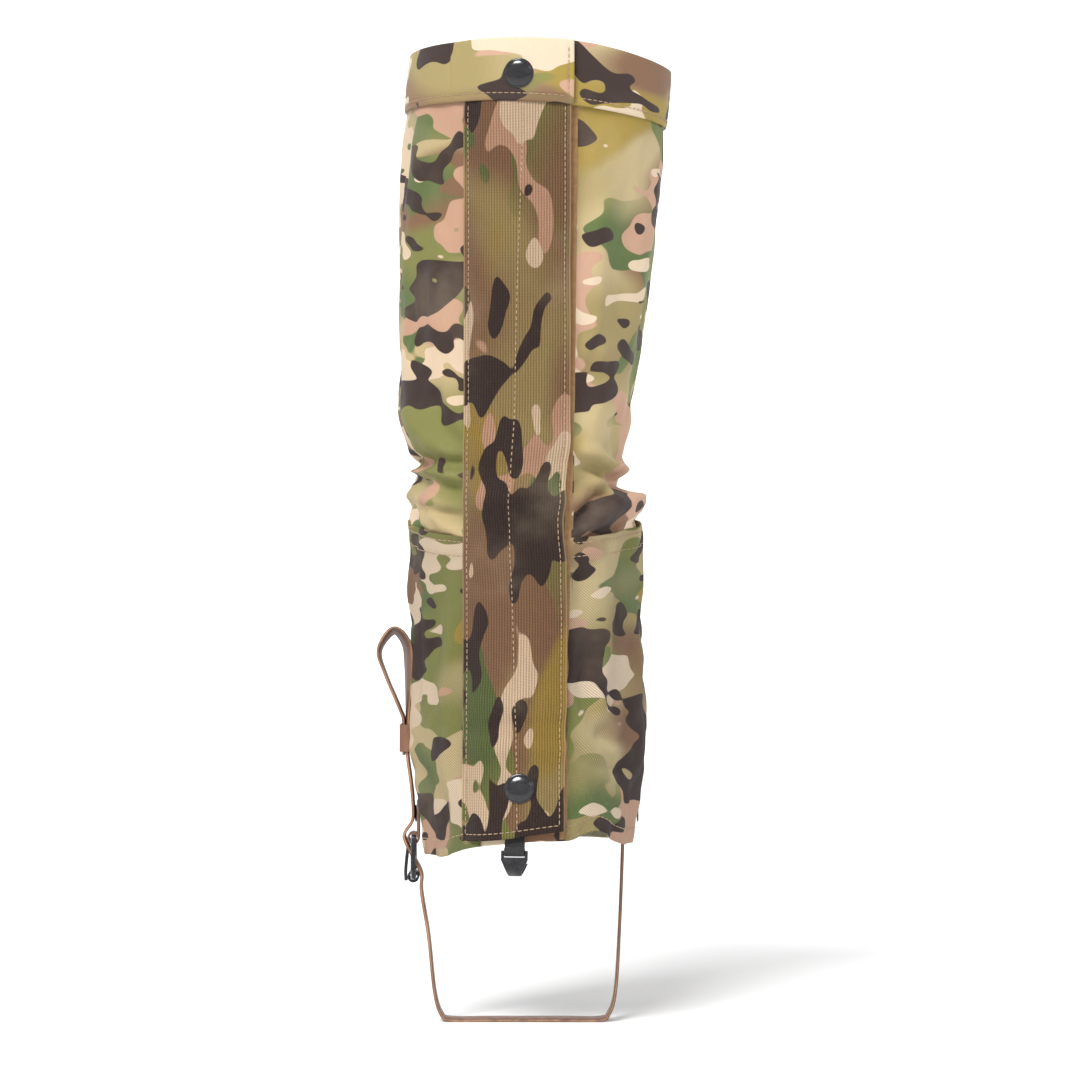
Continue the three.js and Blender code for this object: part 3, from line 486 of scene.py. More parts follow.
def stitches(name, lines, look):
    """Real threads along lines of points and outward directions, sinking at their ends."""
    points, faces = [], []
    ring = np.arange(THREAD_SIDES) * FULL_TURN / THREAD_SIDES
    round_ring = np.cos(ring)[:, None], np.sin(ring)[:, None]
    parts = np.linspace(0, 1, THREAD_RINGS)
    arch = np.sqrt(np.sin(math.pi * parts))
    lift = (THREAD_RADIUS * (1.9 * arch - 0.7))[:, None]
    size = (THREAD_RADIUS * (0.45 + 0.55 * arch))[:, None, None]
    for line, normals in lines:
        lengths = path_lengths(line)
        for begin in np.arange(0.3 * MM, lengths[-1] - STITCH_LENGTH, STITCH_PITCH):
            at = begin + parts * STITCH_LENGTH
            middle, out = (
                np.stack([np.interp(at, lengths, values[:, k]) for k in range(3)], -1)
                for values in (line, normals)
            )
            middle = middle + out * lift
            along = unit_vectors(np.gradient(middle, axis=0))
            side = unit_vectors(np.cross(along, out))
            up = np.cross(side, along)
            rings = middle[:, None] + size * (
                side[:, None] * round_ring[0] + up[:, None] * round_ring[1]
            )
            faces += tube_faces(THREAD_RINGS, THREAD_SIDES, len(points))
            points.extend(rings.reshape(-1, 3))
    return make_object(name, points, faces, [look])


def wrapped(left, right, bottom, top, offset, folds=None, overhang=None):
    """place(u, v) of a sheet between side angles (of a height) and edge heights (of an angle)."""

    def place(u, v):
        u, v = np.broadcast_arrays(np.asarray(u, float), np.asarray(v, float))
        z = 0 * u + ANKLE_Z
        for _ in range(5):
            angle = left(z) * (1 - u) + right(z) * u
            z = bottom(angle) * (1 - v) + top(angle) * v
        height = offset(angle, z, u, v)
        if folds is not None:
            height = height + folds(angle, z)
        points = skin(angle, z, height)
        if overhang is not None:
            points[..., 2] += overhang(angle, z)
        return points

    return place


def constant(value):
    return lambda *arguments: 0 * arguments[0] + value


# ---- Materials ----


def linear(red, green, blue):
    """A colour given in 0-255 display values, as the shader wants it."""
    def one(value):
        value /= 255
        return value / 12.92 if value <= 0.04045 else ((value + 0.055) / 1.055) ** 2.4

    return (one(red), one(green), one(blue), 1.0)


class Nodes:
    """Short names for building one material's node tree."""

    def __init__(self, name):
        self.material = bpy.data.materials.new(name)
        self.material.use_nodes = True
        self.tree = self.material.node_tree
        self.shader = self.tree.nodes["Principled BSDF"]

    def add(self, kind, **values):
        node = self.tree.nodes.new("ShaderNode" + kind)
        for key, value in values.items():
            setattr(node, key, value)
        return node

    def link(self, source, target):
        self.tree.links.new(source, target)

    def feed(self, socket, value):
        """Give a socket another node's output, or a plain value."""
        if isinstance(value, bpy.types.NodeSocket):
            self.link(value, socket)
        else:
            socket.default_value = value

    def set(self, **values):
        for key, value in values.items():
            self.feed(self.shader.inputs[key.replace("_", " ")], value)

    def math(self, operation, *values):
        node = self.add("Math", operation=operation)
        for socket, value in zip(node.inputs, values):
            self.feed(socket, value)
        return node.outputs[0]

    def times(self, first, second):
        return self.math("MULTIPLY", first, second)

    def plus(self, first, second):
        return self.math("ADD", first, second)

    def minus(self, first, second):
        return self.math("SUBTRACT", first, second)

    def coordinates(self, kind, scale=(1, 1, 1), shift=(0, 0, 0)):
        source = self.add("TexCoord").outputs[kind]
        mapping = self.add("Mapping")
        mapping.inputs["Scale"].default_value = scale
        mapping.inputs["Location"].default_value = shift
        self.link(source, mapping.inputs["Vector"])
        return mapping.outputs["Vector"]

    def noise(self, vector, scale, detail):
        node = self.add("TexNoise")
        self.link(vector, node.inputs["Vector"])
        node.inputs["Scale"].default_value = scale
        node.inputs["Detail"].default_value = detail
        return node.outputs["Fac"]

    def split(self, vector):
        node = self.add("SeparateXYZ")
        self.link(vector, node.inputs[0])
        return node.outputs[0], node.outputs[1]

    def step(self, value, low, high):
        """0 below low, 1 above high, smooth between."""
        node = self.add("MapRange", interpolation_type="SMOOTHSTEP")
        self.link(value, node.inputs["Value"])
        node.inputs["From Min"].default_value = low
        node.inputs["From Max"].default_value = high
        return node.outputs["Result"]

    def mix(self, factor, first, second, blend="MIX"):
        node = self.add("Mix", data_type="RGBA", blend_type=blend)
        self.feed(node.inputs["Factor"], factor)
        colors = [socket for socket in node.inputs if socket.type == "RGBA"]
        for socket, value in zip(colors, (first, second)):
            self.feed(socket, value)
        return [socket for socket in node.outputs if socket.type == "RGBA"][0]

    def bump(self, height, distance, strength=1.0, normal=None):
        node = self.add("Bump")
        node.inputs["Distance"].default_value = distance
        node.inputs["Strength"].default_value = strength
        self.link(height, node.inputs["Height"])
        if normal is not None:
            self.link(normal, node.inputs["Normal"])
        return node.outputs["Normal"]


SAND = linear(212, 194, 148)
KHAKI = linear(176, 160, 108)
OLIVE = linear(142, 146, 84)
GREEN = linear(104, 124, 74)
BROWN = linear(146, 112, 86)
ROSE = linear(214, 174, 148)
MUSTARD = linear(178, 154, 76)
CREAM = linear(242, 222, 194)
DARK = linear(68, 54, 50)
UMBER = linear(150, 118, 90)
PRINT_DEPTH = 0.9  # darkens every print, for the strong studio light
THREAD_TAN = linear(176, 148, 118)
COYOTE = linear(154, 116, 74)


def weave_height(nodes, uv, kind):
    """The height of the threads, from 0 to 1, for one kind of cloth."""
    x, y = nodes.split(uv)

    def wave(value, pitch):
        return nodes.math("SINE", nodes.times(value, FULL_TURN / pitch))

    if kind == "ribbed":
        ribs = nodes.math("ABSOLUTE", wave(x, 2.5 * MM))
        fine = nodes.times(wave(y, 0.75 * MM), 0.22)
        return nodes.plus(nodes.times(ribs, 0.75), fine)
    if kind == "twill":
        slanted = nodes.plus(x, nodes.times(y, 0.8))
        lines = nodes.math("MULTIPLY_ADD", wave(slanted, 1.15 * MM), 0.5)
        cross = nodes.times(wave(nodes.minus(x, y), 0.9 * MM), 0.25)
        return nodes.plus(lines, cross)
    threads = nodes.times(wave(x, 0.62 * MM), wave(y, 0.62 * MM))
    return nodes.math("MULTIPLY_ADD", threads, 0.5)


# How strongly each kind of weave darkens its print with painted shade in the thread grooves, its
# height, and the cloth's roughness.
WEAVES = {
    "ribbed": (0.62, 0.40 * MM, 0.9),
    "twill": (0.50, 0.34 * MM, 0.9),
    "plain": (0.16, 0.08 * MM, 0.74),
}
WHITE = linear(255, 255, 255)


def camouflage(name, kind, shift, tones, upright=False, edges=(), dim=0.0, fineness=1.3):
    """Printed cloth: soft changes of ground colour under crisp lobed blots.

    tones gives the ground's two colours, and edges the places along the cloth, in metres,
    where a folded edge gets a painted highlight, a lighter tan line. dim darkens and browns
    the whole print, and a larger fineness makes the blots smaller."""
    nodes = Nodes(name)
    uv = nodes.coordinates("UV")
    stretch = (1.6, 0.68, 1) if upright else (0.66, 1.2, 1)
    depth, relief, roughness = WEAVES[kind]

    def field(scale, number, lobes=0.0):
        """Noise about 0.5, with rounded lobes along its level lines."""
        place = nodes.coordinates("UV", stretch, (shift + 1.7 * number, 0.9 * number, 0))
        value = nodes.noise(place, scale * fineness, 0.0)
        if not lobes:
            return value
        finer = nodes.noise(place, scale * fineness * 3.2, 0.0)
        return nodes.plus(value, nodes.times(nodes.minus(finer, 0.5), lobes))

    def cover(value, level, softness):
        return nodes.step(value, level - softness, level + softness)

    color = tones[0]
    for number, scale, level, softness, over in [
        (1, 12, 0.5, 0.11, tones[1]), (2, 13, 0.60, 0.07, BROWN), (3, 15, 0.66, 0.05, MUSTARD),
    ]:
        color = nodes.mix(cover(field(scale, number), level, softness), color, over)
    green_edge = cover(field(15, 4, 0.40), 0.545, 0.006)
    green_fade = nodes.step(field(12, 5), 0.30, 0.50)
    green = nodes.mix(cover(field(16, 6), 0.5, 0.12), OLIVE, GREEN)
    color = nodes.mix(nodes.times(green_edge, green_fade), color, green)
    for number, scale, lobes, level, softness, over in [
        (7, 17, 0.45, 0.655, 0.006, ROSE),
        (8, 20, 0.5, 0.62 if upright else 0.655, 0.004, CREAM),
        (9, 20, 0.62, 0.60 if upright else 0.62, 0.004, DARK),
    ]:
        color = nodes.mix(cover(field(scale, number, lobes), level, softness), color, over)

    browned = linear(176, 146, 116)
    ink = [PRINT_DEPTH * (1 - dim + dim * part) for part in browned[:3]]
    color = nodes.mix(1.0, color, (*ink, 1.0), "MULTIPLY")

    height = weave_height(nodes, uv, kind)
    # The weave's height, stepped: low in the thread grooves. It drives the painted shade in the
    # grooves below, and the roughness.
    shade = nodes.step(height, -0.2, 1.0)
    slub = nodes.noise(nodes.coordinates("UV", (1, 0.12, 1)), 1500, 2)
    # First pass: painted shade, darker in the weave's grooves. Second pass: the yarn's own slub
    # tone.
    for amount, factor, dark in [(depth, shade, (96, 84, 72)), (0.14, slub, (110, 100, 90))]:
        color = nodes.mix(amount, color, nodes.mix(factor, linear(*dark), WHITE), "MULTIPLY")
    dust = nodes.noise(nodes.coordinates("Object"), 26, 4)
    dusty = nodes.times(nodes.step(dust, 0.5, 0.8), 0.12)
    color = nodes.mix(dusty, color, linear(196, 178, 148))
    # Painted highlight: a lighter tan line along each folded edge.
    for edge in edges:
        distance = nodes.math("ABSOLUTE", nodes.minus(nodes.split(uv)[0], edge))
        edge_highlight = nodes.minus(1.0, nodes.step(distance, 0.5 * MM, 1.3 * MM))
        color = nodes.mix(nodes.times(edge_highlight, 0.4), color, linear(176, 150, 116))

    crumple = nodes.bump(nodes.noise(nodes.coordinates("Object"), 85, 3), 0.9 * MM, 0.35)
    nodes.set(
        Base_Color=color, Normal=nodes.bump(height, relief, 1.0, crumple),
        Roughness=nodes.math("MULTIPLY_ADD", shade, -0.12, roughness),
        Sheen_Weight=0.04, Sheen_Roughness=0.5, Specular_IOR_Level=0.22,
    )
    return nodes.material


def scaled(color, factor):
    return tuple(min(1.0, factor * part) for part in color[:3]) + (1.0,)


def plain_cloth(name, color, pitch, relief, roughness=0.85):
    """One-coloured woven tape, lining or thread, with ribs across and along."""
    nodes = Nodes(name)
    waves_x, waves_y = (
        nodes.math("SINE", nodes.times(axis, FULL_TURN / pitch))
        for axis in nodes.split(nodes.coordinates("UV"))
    )
    speckle = nodes.noise(nodes.coordinates("Object"), 420, 3)
    # Painted shade and highlight: darker where the weave dips and lighter on the thread tops, mixed
    # with the yarn's own random speckle.
    value = nodes.plus(nodes.times(nodes.times(waves_x, waves_y), 0.5), speckle)
    nodes.set(
        Base_Color=nodes.mix(nodes.step(value, 0.0, 1.1), scaled(color, 0.55), scaled(color, 1.25)),
        Normal=nodes.bump(value, relief), Roughness=roughness, Sheen_Weight=0.15,
    )
    return nodes.material


def worn_metal(name, roughness, wear, coat=0.0, relief=0.03 * MM):
    """Black coated metal: fine grain, fingerprints and brighter rubbed edges."""
    nodes = Nodes(name)
    place = nodes.coordinates("Object")
    grain = nodes.noise(place, 900, 3)
    smudge = nodes.noise(place, 120, 3)
    edge = nodes.step(nodes.add("NewGeometry").outputs["Pointiness"], 0.53, 0.62)
    rubbed = nodes.times(edge, nodes.times(nodes.step(smudge, 0.35, 0.65), wear))
    base = nodes.mix(nodes.step(grain, 0.3, 0.8), linear(22, 22, 25), linear(44, 44, 47))
    nodes.set(
        Base_Color=nodes.mix(rubbed, base, linear(150, 150, 155)),
        Roughness=nodes.math("MULTIPLY_ADD", smudge, 0.18, roughness),
        Normal=nodes.bump(grain, relief, 0.5),
        Metallic=0.35, Coat_Weight=coat, Coat_Roughness=0.06,
    )
    return nodes.material


def strap_look(name, color, relief):
    """Coated strap: fine pebble grain, small scuffs."""
    nodes = Nodes(name)
    pebble = nodes.add("TexVoronoi")
    nodes.feed(pebble.inputs["Vector"], nodes.coordinates("Object"))
    nodes.feed(pebble.inputs["Scale"], 1400)
    scuff = nodes.step(nodes.noise(nodes.coordinates("Object", (1, 1, 0.3)), 160, 4), 0.3, 0.75)
    nodes.set(
        Base_Color=nodes.mix(scuff, scaled(color, 0.6), scaled(color, 1.3)),
        Normal=nodes.bump(pebble.outputs["Distance"], relief, 0.7), Roughness=0.55,
    )
    return nodes.material


LOOKS = {
    "upper_outer": camouflage("camo_upper_outer", "plain", 10.3, (SAND, OLIVE), dim=0.35),
    "upper_inner": camouflage("camo_upper_inner", "plain", 31.2, (SAND, KHAKI), dim=0.15),
    "lower_outer": camouflage("camo_lower_outer", "twill", 12.4, (SAND, UMBER), dim=0.2),
    "lower_inner": camouflage("camo_lower_inner", "twill", 13.1, (SAND, KHAKI)),
    "collar": camouflage("camo_collar", "plain", 14.6, (SAND, KHAKI), dim=0.1),
    "flap": camouflage(
        "camo_flap", "ribbed", 7.7, (KHAKI, UMBER), upright=True,
        edges=(0.31, 0.31 + FLAP_WIDTH), dim=0.55, fineness=1.0,
    ),
    "lining": plain_cloth("coated_lining", linear(150, 140, 112), 0.7 * MM, 0.04 * MM, 0.6),
    "coyote": plain_cloth("coyote_binding", COYOTE, 1.1 * MM, 0.12 * MM),
    "thread": plain_cloth("tan_thread", THREAD_TAN, 0.5 * MM, 0.05 * MM, 0.7),
    "elastic": plain_cloth("ribbed_elastic", linear(52, 48, 44), 1.6 * MM, 0.25 * MM),
    "loop": plain_cloth("loop_pile", linear(150, 112, 70), 1.3 * MM, 0.5 * MM, 0.95),
    "hook": plain_cloth("hook_pile", linear(140, 104, 64), 1.5 * MM, 0.5 * MM, 0.7),
    "webbing": plain_cloth("black_webbing", linear(34, 33, 35), 1.2 * MM, 0.3 * MM),
    "strap": strap_look("brown_strap", linear(118, 82, 62), 0.06 * MM),
    "strap_edge": strap_look("strap_cut_edge", linear(158, 120, 88), 0.03 * MM),
    "metal": worn_metal("black_metal", 0.3, 0.9),
    "gloss": worn_metal("gloss_enamel", 0.12, 0.15, coat=0.6, relief=0.006 * MM),
}


# ---- Cloth pieces ----

UPPER_WALL = 1.4 * MM
LOWER_WALL = 1.8 * MM
COLLAR_WALL = 2.6 * MM
FLAP_SEAT = LOWER_WALL + GAP
FLAP_LIFT = 4.9 * MM  # the flap's inner face where it lies on the fasteners
FLAP_WALL = 1.5 * MM
FLAP_RAMP = 12 * MM


def outer_front(z):
    """The outer panels lie over the placket's left edge, under the flap."""
    return FULL_TURN + angle_at(PLACKET_LEFT_X + 1.5 * MM, z)


def inner_front(z):
    """The inner panels lie over the placket's edge, further towards the hem."""
    low = unit((330 * MM - z) / (120 * MM))
    return angle_at(placket_right_x(z) - 1.5 * MM - 1.3 * MM * low, z)


PANEL_SIDES = {
    "outer": (constant(math.pi), outer_front, 0.02),
    "inner": (inner_front, constant(math.pi), 0.35),
}


def attach(piece, body):
    if body == "hinge":
        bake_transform(piece)
    else:
        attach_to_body(piece, body)


def finish_sheet(
    sheet, look, inside, thickness, slot, nodes, body, flat, held="stretched", with_pieces=(),
    **build
):
    piece = sheet.build(thickness, LOOKS[look], LOOKS[inside], **build)
    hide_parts(*nodes)
    attach(piece, body)


def sew(sheet, rows, body):
    """Stitch rows on a sheet. Each row is points in metres from the left and bottom edges."""
    lines = []
    for row in rows:
        parts = [sheet.line(start, end) for start, end in zip(row, row[1:])]
        lines.append([np.concatenate(values) for values in zip(*parts)])
    attach(stitches(sheet.name + "_stitches", lines, LOOKS["thread"]), body)


def arc_between(left, right, z):
    """Length round the tube between two side angles at a height."""
    angles = np.linspace(float(left(np.array(z))), float(right(np.array(z))), 60)
    return float(path_lengths(skin(angles, 0 * angles + z))[-1])


def make_upper_panels():
    overlap = 5 * MM  # under the collar and under the lower panel
    for side, (left, right, uv_x) in PANEL_SIDES.items():
        width = arc_between(left, right, 400 * MM)
        height = COLLAR_Z - SEAM_Z - SEAM_RISE / 2 + 2 * overlap

        def offset(angle, z, u, v):
            tuck = 0.5 * MM * unit(1 - v * height / (8 * MM))
            top_tuck = 0.4 * MM * unit(1 - (1 - v) * height / (7 * MM))
            return UPPER_WALL - tuck - top_tuck

        def folds(angle, z):
            edge_hold = np.clip((z - seam_z(angle) + overlap) / (12 * MM), 0.15, 1)
            top_hold = np.clip((collar_z(angle) + overlap - z) / (25 * MM), 0.1, 1)
            near_flap = np.clip((angle_at(PLACKET_LEFT_X, z) + FULL_TURN - angle) / 0.35, 0.05, 1)
            near_placket = np.clip((angle - inner_front(z)) / 0.12, 0.25, 1)
            hold = near_flap if side == "outer" else near_placket
            above_panel = unit(z - seam_z(angle) - overlap)
            ceiling = lower_folds(angle, z) * lower_hold(side, angle, z) + 0.3 * MM
            total = upper_folds(angle, z) * edge_hold * top_hold * hold
            return np.minimum(total, ceiling + 1.8 * above_panel)

        def overhang(angle, z):
            front = angle - inner_front(z)
            if side == "outer":
                front = angle_at(PLACKET_LEFT_X, z) + FULL_TURN - angle
            return upper_overhang(angle, z) * unit(front / 0.5)

        place = wrapped(
            left, right, lambda a: seam_z(a) - overlap, lambda a: collar_z(a) + overlap,
            offset, folds, overhang,
        )
        sheet = Sheet(f"upper_{side}_cloth", place, width, height)
        finish_sheet(
            sheet, f"upper_{side}", "lining", 0.9 * MM, "camo_nylon", [f"upper_{side}_panel"],
            "shell", flat=(width * 1.04, height * 1.06), step=1.7 * MM, uv_origin=(uv_x, 0.24),
            held="gathered",
        )


def make_lower_panels():
    rise = 5 * MM  # the folded top edge reaches over the seam
    top_rows = (3 * MM, 10.5 * MM)
    hem_row = 8 * MM
    for side, (left, right, uv_x) in PANEL_SIDES.items():
        width = arc_between(left, right, 180 * MM)
        height = SEAM_Z + SEAM_RISE / 2 - HEM_Z - HEM_RISE / 2 + rise

        def offset(angle, z, u, v):
            from_top = (1 - v) * height
            doubled = 0.5 * MM / (1 + np.exp((from_top - 12.5 * MM) / (0.4 * MM)))
            hem = 0.5 * MM / (1 + np.exp((v * height - 10 * MM) / (0.4 * MM)))
            return LOWER_WALL + 0.2 * MM + doubled + hem

        def folds(angle, z):
            return lower_folds(angle, z) * lower_hold(side, angle, z)

        place = wrapped(left, right, hem_z, lambda a: seam_z(a) + rise, offset, folds)
        v_rows = (hem_row, height - top_rows[0], height - top_rows[1])
        sheet = Sheet(f"lower_{side}_cloth", place, width, height, v_rows=v_rows)
        finish_sheet(
            sheet, f"lower_{side}", "lining", 1.1 * MM, "camo_cordura", [f"lower_{side}_panel"],
            "shell", flat=(width * 1.02, height * 1.1), step=2 * MM, uv_origin=(uv_x, 0.08),
        )
        rows = [((1 * MM, y), (width - 1 * MM, y)) for y in v_rows]
        sew(sheet, rows, "shell")


def flap_offset(angle, z, wall):
    along = (angle - angle_at(FOLD_X, z)) * ARC_RADIUS
    return FLAP_SEAT + (FLAP_LIFT - FLAP_SEAT) * ease(unit(along / FLAP_RAMP)) + wall


def make_collar():
    height = TOP_Z - COLLAR_Z
    join_x = FOLD_X - 7 * MM  # where the tab's cloth meets the band's
    low_row = 4 * MM
    tab_width = (flap_right_x(TOP_Z) + 1 * MM - join_x) * 1.03

    def puff(v, full):
        return full * np.sin(math.pi * unit(v)) ** 0.6

    def band_offset(angle, z, u, v):
        past = (angle - FULL_TURN - angle_at(join_x - 1 * MM, z)) * ARC_RADIUS
        sunk = unit(past / (3 * MM))
        return COLLAR_WALL + 0.4 * MM - 0.5 * MM * sunk + puff(v, 0.7 * MM)

    def tab_offset(angle, z, u, v):
        x = front_x(angle, z)
        t = ease(unit((x - join_x) / (FOLD_X + FLAP_RAMP - join_x)))
        start = COLLAR_WALL + 0.4 * MM
        sunk = 0.25 * MM * unit((join_x + 1.2 * MM - x) / (1.2 * MM))
        return start + (FLAP_LIFT + 2 * MM - start) * t + puff(v, 0.7 * MM) - sunk

    band_left = lambda z: angle_at(placket_right_x(z) - 12 * MM, z)
    band_right = lambda z: FULL_TURN + angle_at(join_x + 4 * MM, z)

    def placket_clear(angle, z, u, v):
        # The band's free end passes under the tab, so it lies lower there.
        x = front_x(angle, z)
        under = unit((flap_right_x(z) + 3 * MM - x) / (4 * MM)) * (angle < math.pi)
        return band_offset(angle, z, u, v) * (1 - under) + (1.9 * MM) * under

    width = arc_between(band_left, band_right, 480 * MM)
    band = Sheet(
        "collar_band_cloth",
        wrapped(band_left, band_right, collar_z, top_z, placket_clear, collar_folds),
        width, height, v_rows=(low_row,),
    )
    finish_sheet(
        band, "collar", "lining", 1.9 * MM, "camo_nylon", ["collar_band"], "shell",
        flat=(width, height * 1.02), uv_origin=(0.07, 0.46),
    )
    sew(band, [((13 * MM, low_row), (width - 4 * MM, low_row))], "shell")

    def tab_folds(angle, z):
        fade = unit((front_x(angle, z) - join_x) / (20 * MM))
        return collar_folds(angle + FULL_TURN, z) * (1 - 0.7 * fade)

    tab_left = lambda z: angle_at(join_x, z)
    tab_right = lambda z: angle_at(flap_right_x(z) + 1 * MM, z)
    tab = Sheet(
        "collar_tab_cloth",
        wrapped(tab_left, tab_right, collar_z, top_z, tab_offset, tab_folds),
        tab_width, height, u_rows=(tab_width - 2.6 * MM,), v_rows=(low_row,),
    )
    finish_sheet(
        tab, "collar", "lining", 1.9 * MM, "camo_nylon", ["collar_tab"], "hinge",
        flat=(tab_width, height * 1.02), step=1.4 * MM, uv_origin=(0.07 + width - 4 * MM, 0.46),
    )
    rows = [
        ((0.6 * MM, low_row), (tab_width - 2.6 * MM, low_row)),
        ((tab_width - 2.6 * MM, low_row), (tab_width - 2.6 * MM, height - 1.5 * MM)),
    ]
    sew(tab, rows, "hinge")


def make_flap():
    left = lambda z: angle_at(FOLD_X - 0.8 * MM, z)
    right = lambda z: angle_at(flap_right_x(z), z)
    height = COLLAR_Z + 3 * MM - FLAP_BOTTOM_Z
    width = FLAP_WIDTH

    def offset(angle, z, u, v):
        curl = 0.9 * MM * unit((u - 0.85) / 0.15) ** 2 * bump_at(z, 262 * MM, 60 * MM)
        tuck = 0.9 * MM * unit(1 - (1 - v) * height / (9 * MM))
        fold = 0.5 * MM * bump_at(u * width, width - 0.4 * MM, 0.9 * MM)
        return flap_offset(angle, z, FLAP_WALL) + curl + fold - tuck

    def folds(angle, z):
        hold = np.clip((angle - angle_at(FOLD_X, z)) * ARC_RADIUS / (8 * MM), 0.1, 1)
        return np.maximum(flap_folds(angle, z) * hold, -0.4 * MM)

    def bottom(angle):
        x = front_x(angle, 0 * angle + FLAP_BOTTOM_Z)
        return FLAP_BOTTOM_Z + (x + 12 * MM) * 0.11 + 0.6 * MM * np.sin(x / (9 * MM))

    def middle_row(t):
        """The centre stitch row wanders a little to the outer side half way down."""
        return 0.58 - 0.09 * np.sin(math.pi * unit(t)) ** 1.2

    edge_row = 2.8 * MM
    low_row = 3.2 * MM
    place = wrapped(left, right, bottom, lambda a: collar_z(a) + 3 * MM, offset, folds)
    sheet = Sheet("storm_flap_cloth", place, width, height,
                  u_rows=(edge_row, width - edge_row), v_rows=(low_row,))
    finish_sheet(
        sheet, "flap", "lining", 1.4 * MM, "camo_nylon", ["storm_flap"], "hinge",
        flat=(width, height), step=1.4 * MM, uv_origin=(0.31, 0.1),
    )
    rows = [
        ((edge_row, low_row), (edge_row, height - 3 * MM)),
        ((width - edge_row, low_row), (width - edge_row, height - 3 * MM)),
        ((edge_row, low_row), (width - edge_row, low_row)),
    ]
    rows.append([
        (middle_row(t) * width, low_row + t * (height - 6 * MM)) for t in np.linspace(0, 1, 25)
    ])
    sew(sheet, rows, "hinge")


def make_placket():
    left = lambda z: angle_at(PLACKET_LEFT_X, z)
    right = lambda z: angle_at(placket_right_x(z), z)
    width = arc_between(left, right, 300 * MM)
    height = TOP_Z - HEM_Z - HEM_RISE
    place = wrapped(left, right, hem_z, lambda a: top_z(a) - 0.5 * MM, constant(1.2 * MM))
    band = 4.2 * MM
    edge = Sheet(
        "underlap_binding",
        wrapped(
            lambda z: inner_front(z) - (band - 1.2 * MM) / ARC_RADIUS,
            lambda z: inner_front(z) + 1.2 * MM / ARC_RADIUS,
            lambda a: hem_z(a) + 1 * MM, lambda a: collar_z(a) + 1 * MM,
            constant(2.2 * MM),
        ),
        band, COLLAR_Z - HEM_Z - HEM_RISE, u_rows=(1.5 * MM,),
    )
    binding = edge.build(1.5 * MM, LOOKS["coyote"], LOOKS["coyote"], step=1.6 * MM)
    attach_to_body(binding, "shell")
    finish_sheet(
        Sheet("underlap_cloth", place, width, height), "upper_inner", "lining", 1.0 * MM,
        "camo_nylon", ["underlap_placket"], "shell", flat=(width, height), uv_origin=(0.2, 0.1),
        with_pieces=[binding],
    )


def make_tapes():
    """The touch fastener and the back seam's tape."""
    half = 12.5 * MM
    low, high = SNAP_BOTTOM_Z + 12.5 * MM, COLLAR_Z - 5 * MM
    for name, look, node, body, top_face in [
        ("loop_tape_pile", "loop", "loop_tape", "shell", 2.85 * MM),
        ("hook_tape_pile", "hook", "hook_tape", "front_flap", 4.35 * MM),
    ]:
        place = wrapped(
            lambda z: angle_at(SNAP_X - half, z), lambda z: angle_at(SNAP_X + half, z),
            constant(low), constant(high), constant(top_face),
        )
        sheet = Sheet(name, place, 2 * half, high - low)
        finish_sheet(sheet, look, look, 1.1 * MM, "touch_tape", [node], body,
                     flat=(2 * half, high - low), held="laid")
    tape = Sheet(
        "back_seam_cloth",
        wrapped(
            lambda z: math.pi - 6 * MM / section(z)[1], lambda z: math.pi + 6 * MM / section(z)[1],
            hem_z, lambda a: collar_z(a) + 2 * MM,
            constant(LOWER_WALL + 2.0 * MM),
            lambda a, z: np.where(z > seam_z(a), upper_folds(a, z), lower_folds(a, z)),
        ),
        12 * MM, COLLAR_Z - HEM_Z, u_rows=(1.6 * MM, 10.4 * MM),
    )
    finish_sheet(tape, "coyote", "coyote", 0.9 * MM, "binding", ["back_seam_tape"], "shell",
                 flat=(12 * MM, COLLAR_Z - HEM_Z))
    sew(tape, [((x, 3 * MM), (x, COLLAR_Z - HEM_Z - 3 * MM)) for x in tape.u_rows], "shell")


def ribbed_band(name, node, left, right, low, high, offset, ribs, folds=None):
    """Elastic with real ribs along its length."""
    width = arc_between(left, right, 0.5 * (low(0.0) + high(0.0)))
    height = high(0.0) - low(0.0)
    place = wrapped(
        left, right, low, high,
        lambda a, z, u, v: offset + 0.15 * MM * np.cos(FULL_TURN * ribs * v) + 0 * a, folds,
    )
    sheet = Sheet(name, place, width, height)
    finish_sheet(sheet, "elastic", "elastic", 1.1 * MM, "elastic", [node], "shell",
                 flat=(width * 1.02, height), step=1 * MM)


def make_elastics():
    margin = 7 * MM
    ribbed_band(
        "collar_elastic_cloth", "collar_elastic", inner_front, outer_front,
        lambda a: collar_z(a) + margin, lambda a: top_z(a) - margin, -GAP, 7,
    )
    ribbed_band(
        "ankle_elastic_cloth", "ankle_elastic",
        constant(math.pi / 3), constant(5 * math.pi / 3),
        constant(ANKLE_Z - margin), constant(ANKLE_Z + margin),
        -2 * GAP, 5, lambda a, z: np.minimum(upper_folds(a, z), 0),
    )


# ---- Hardware ----


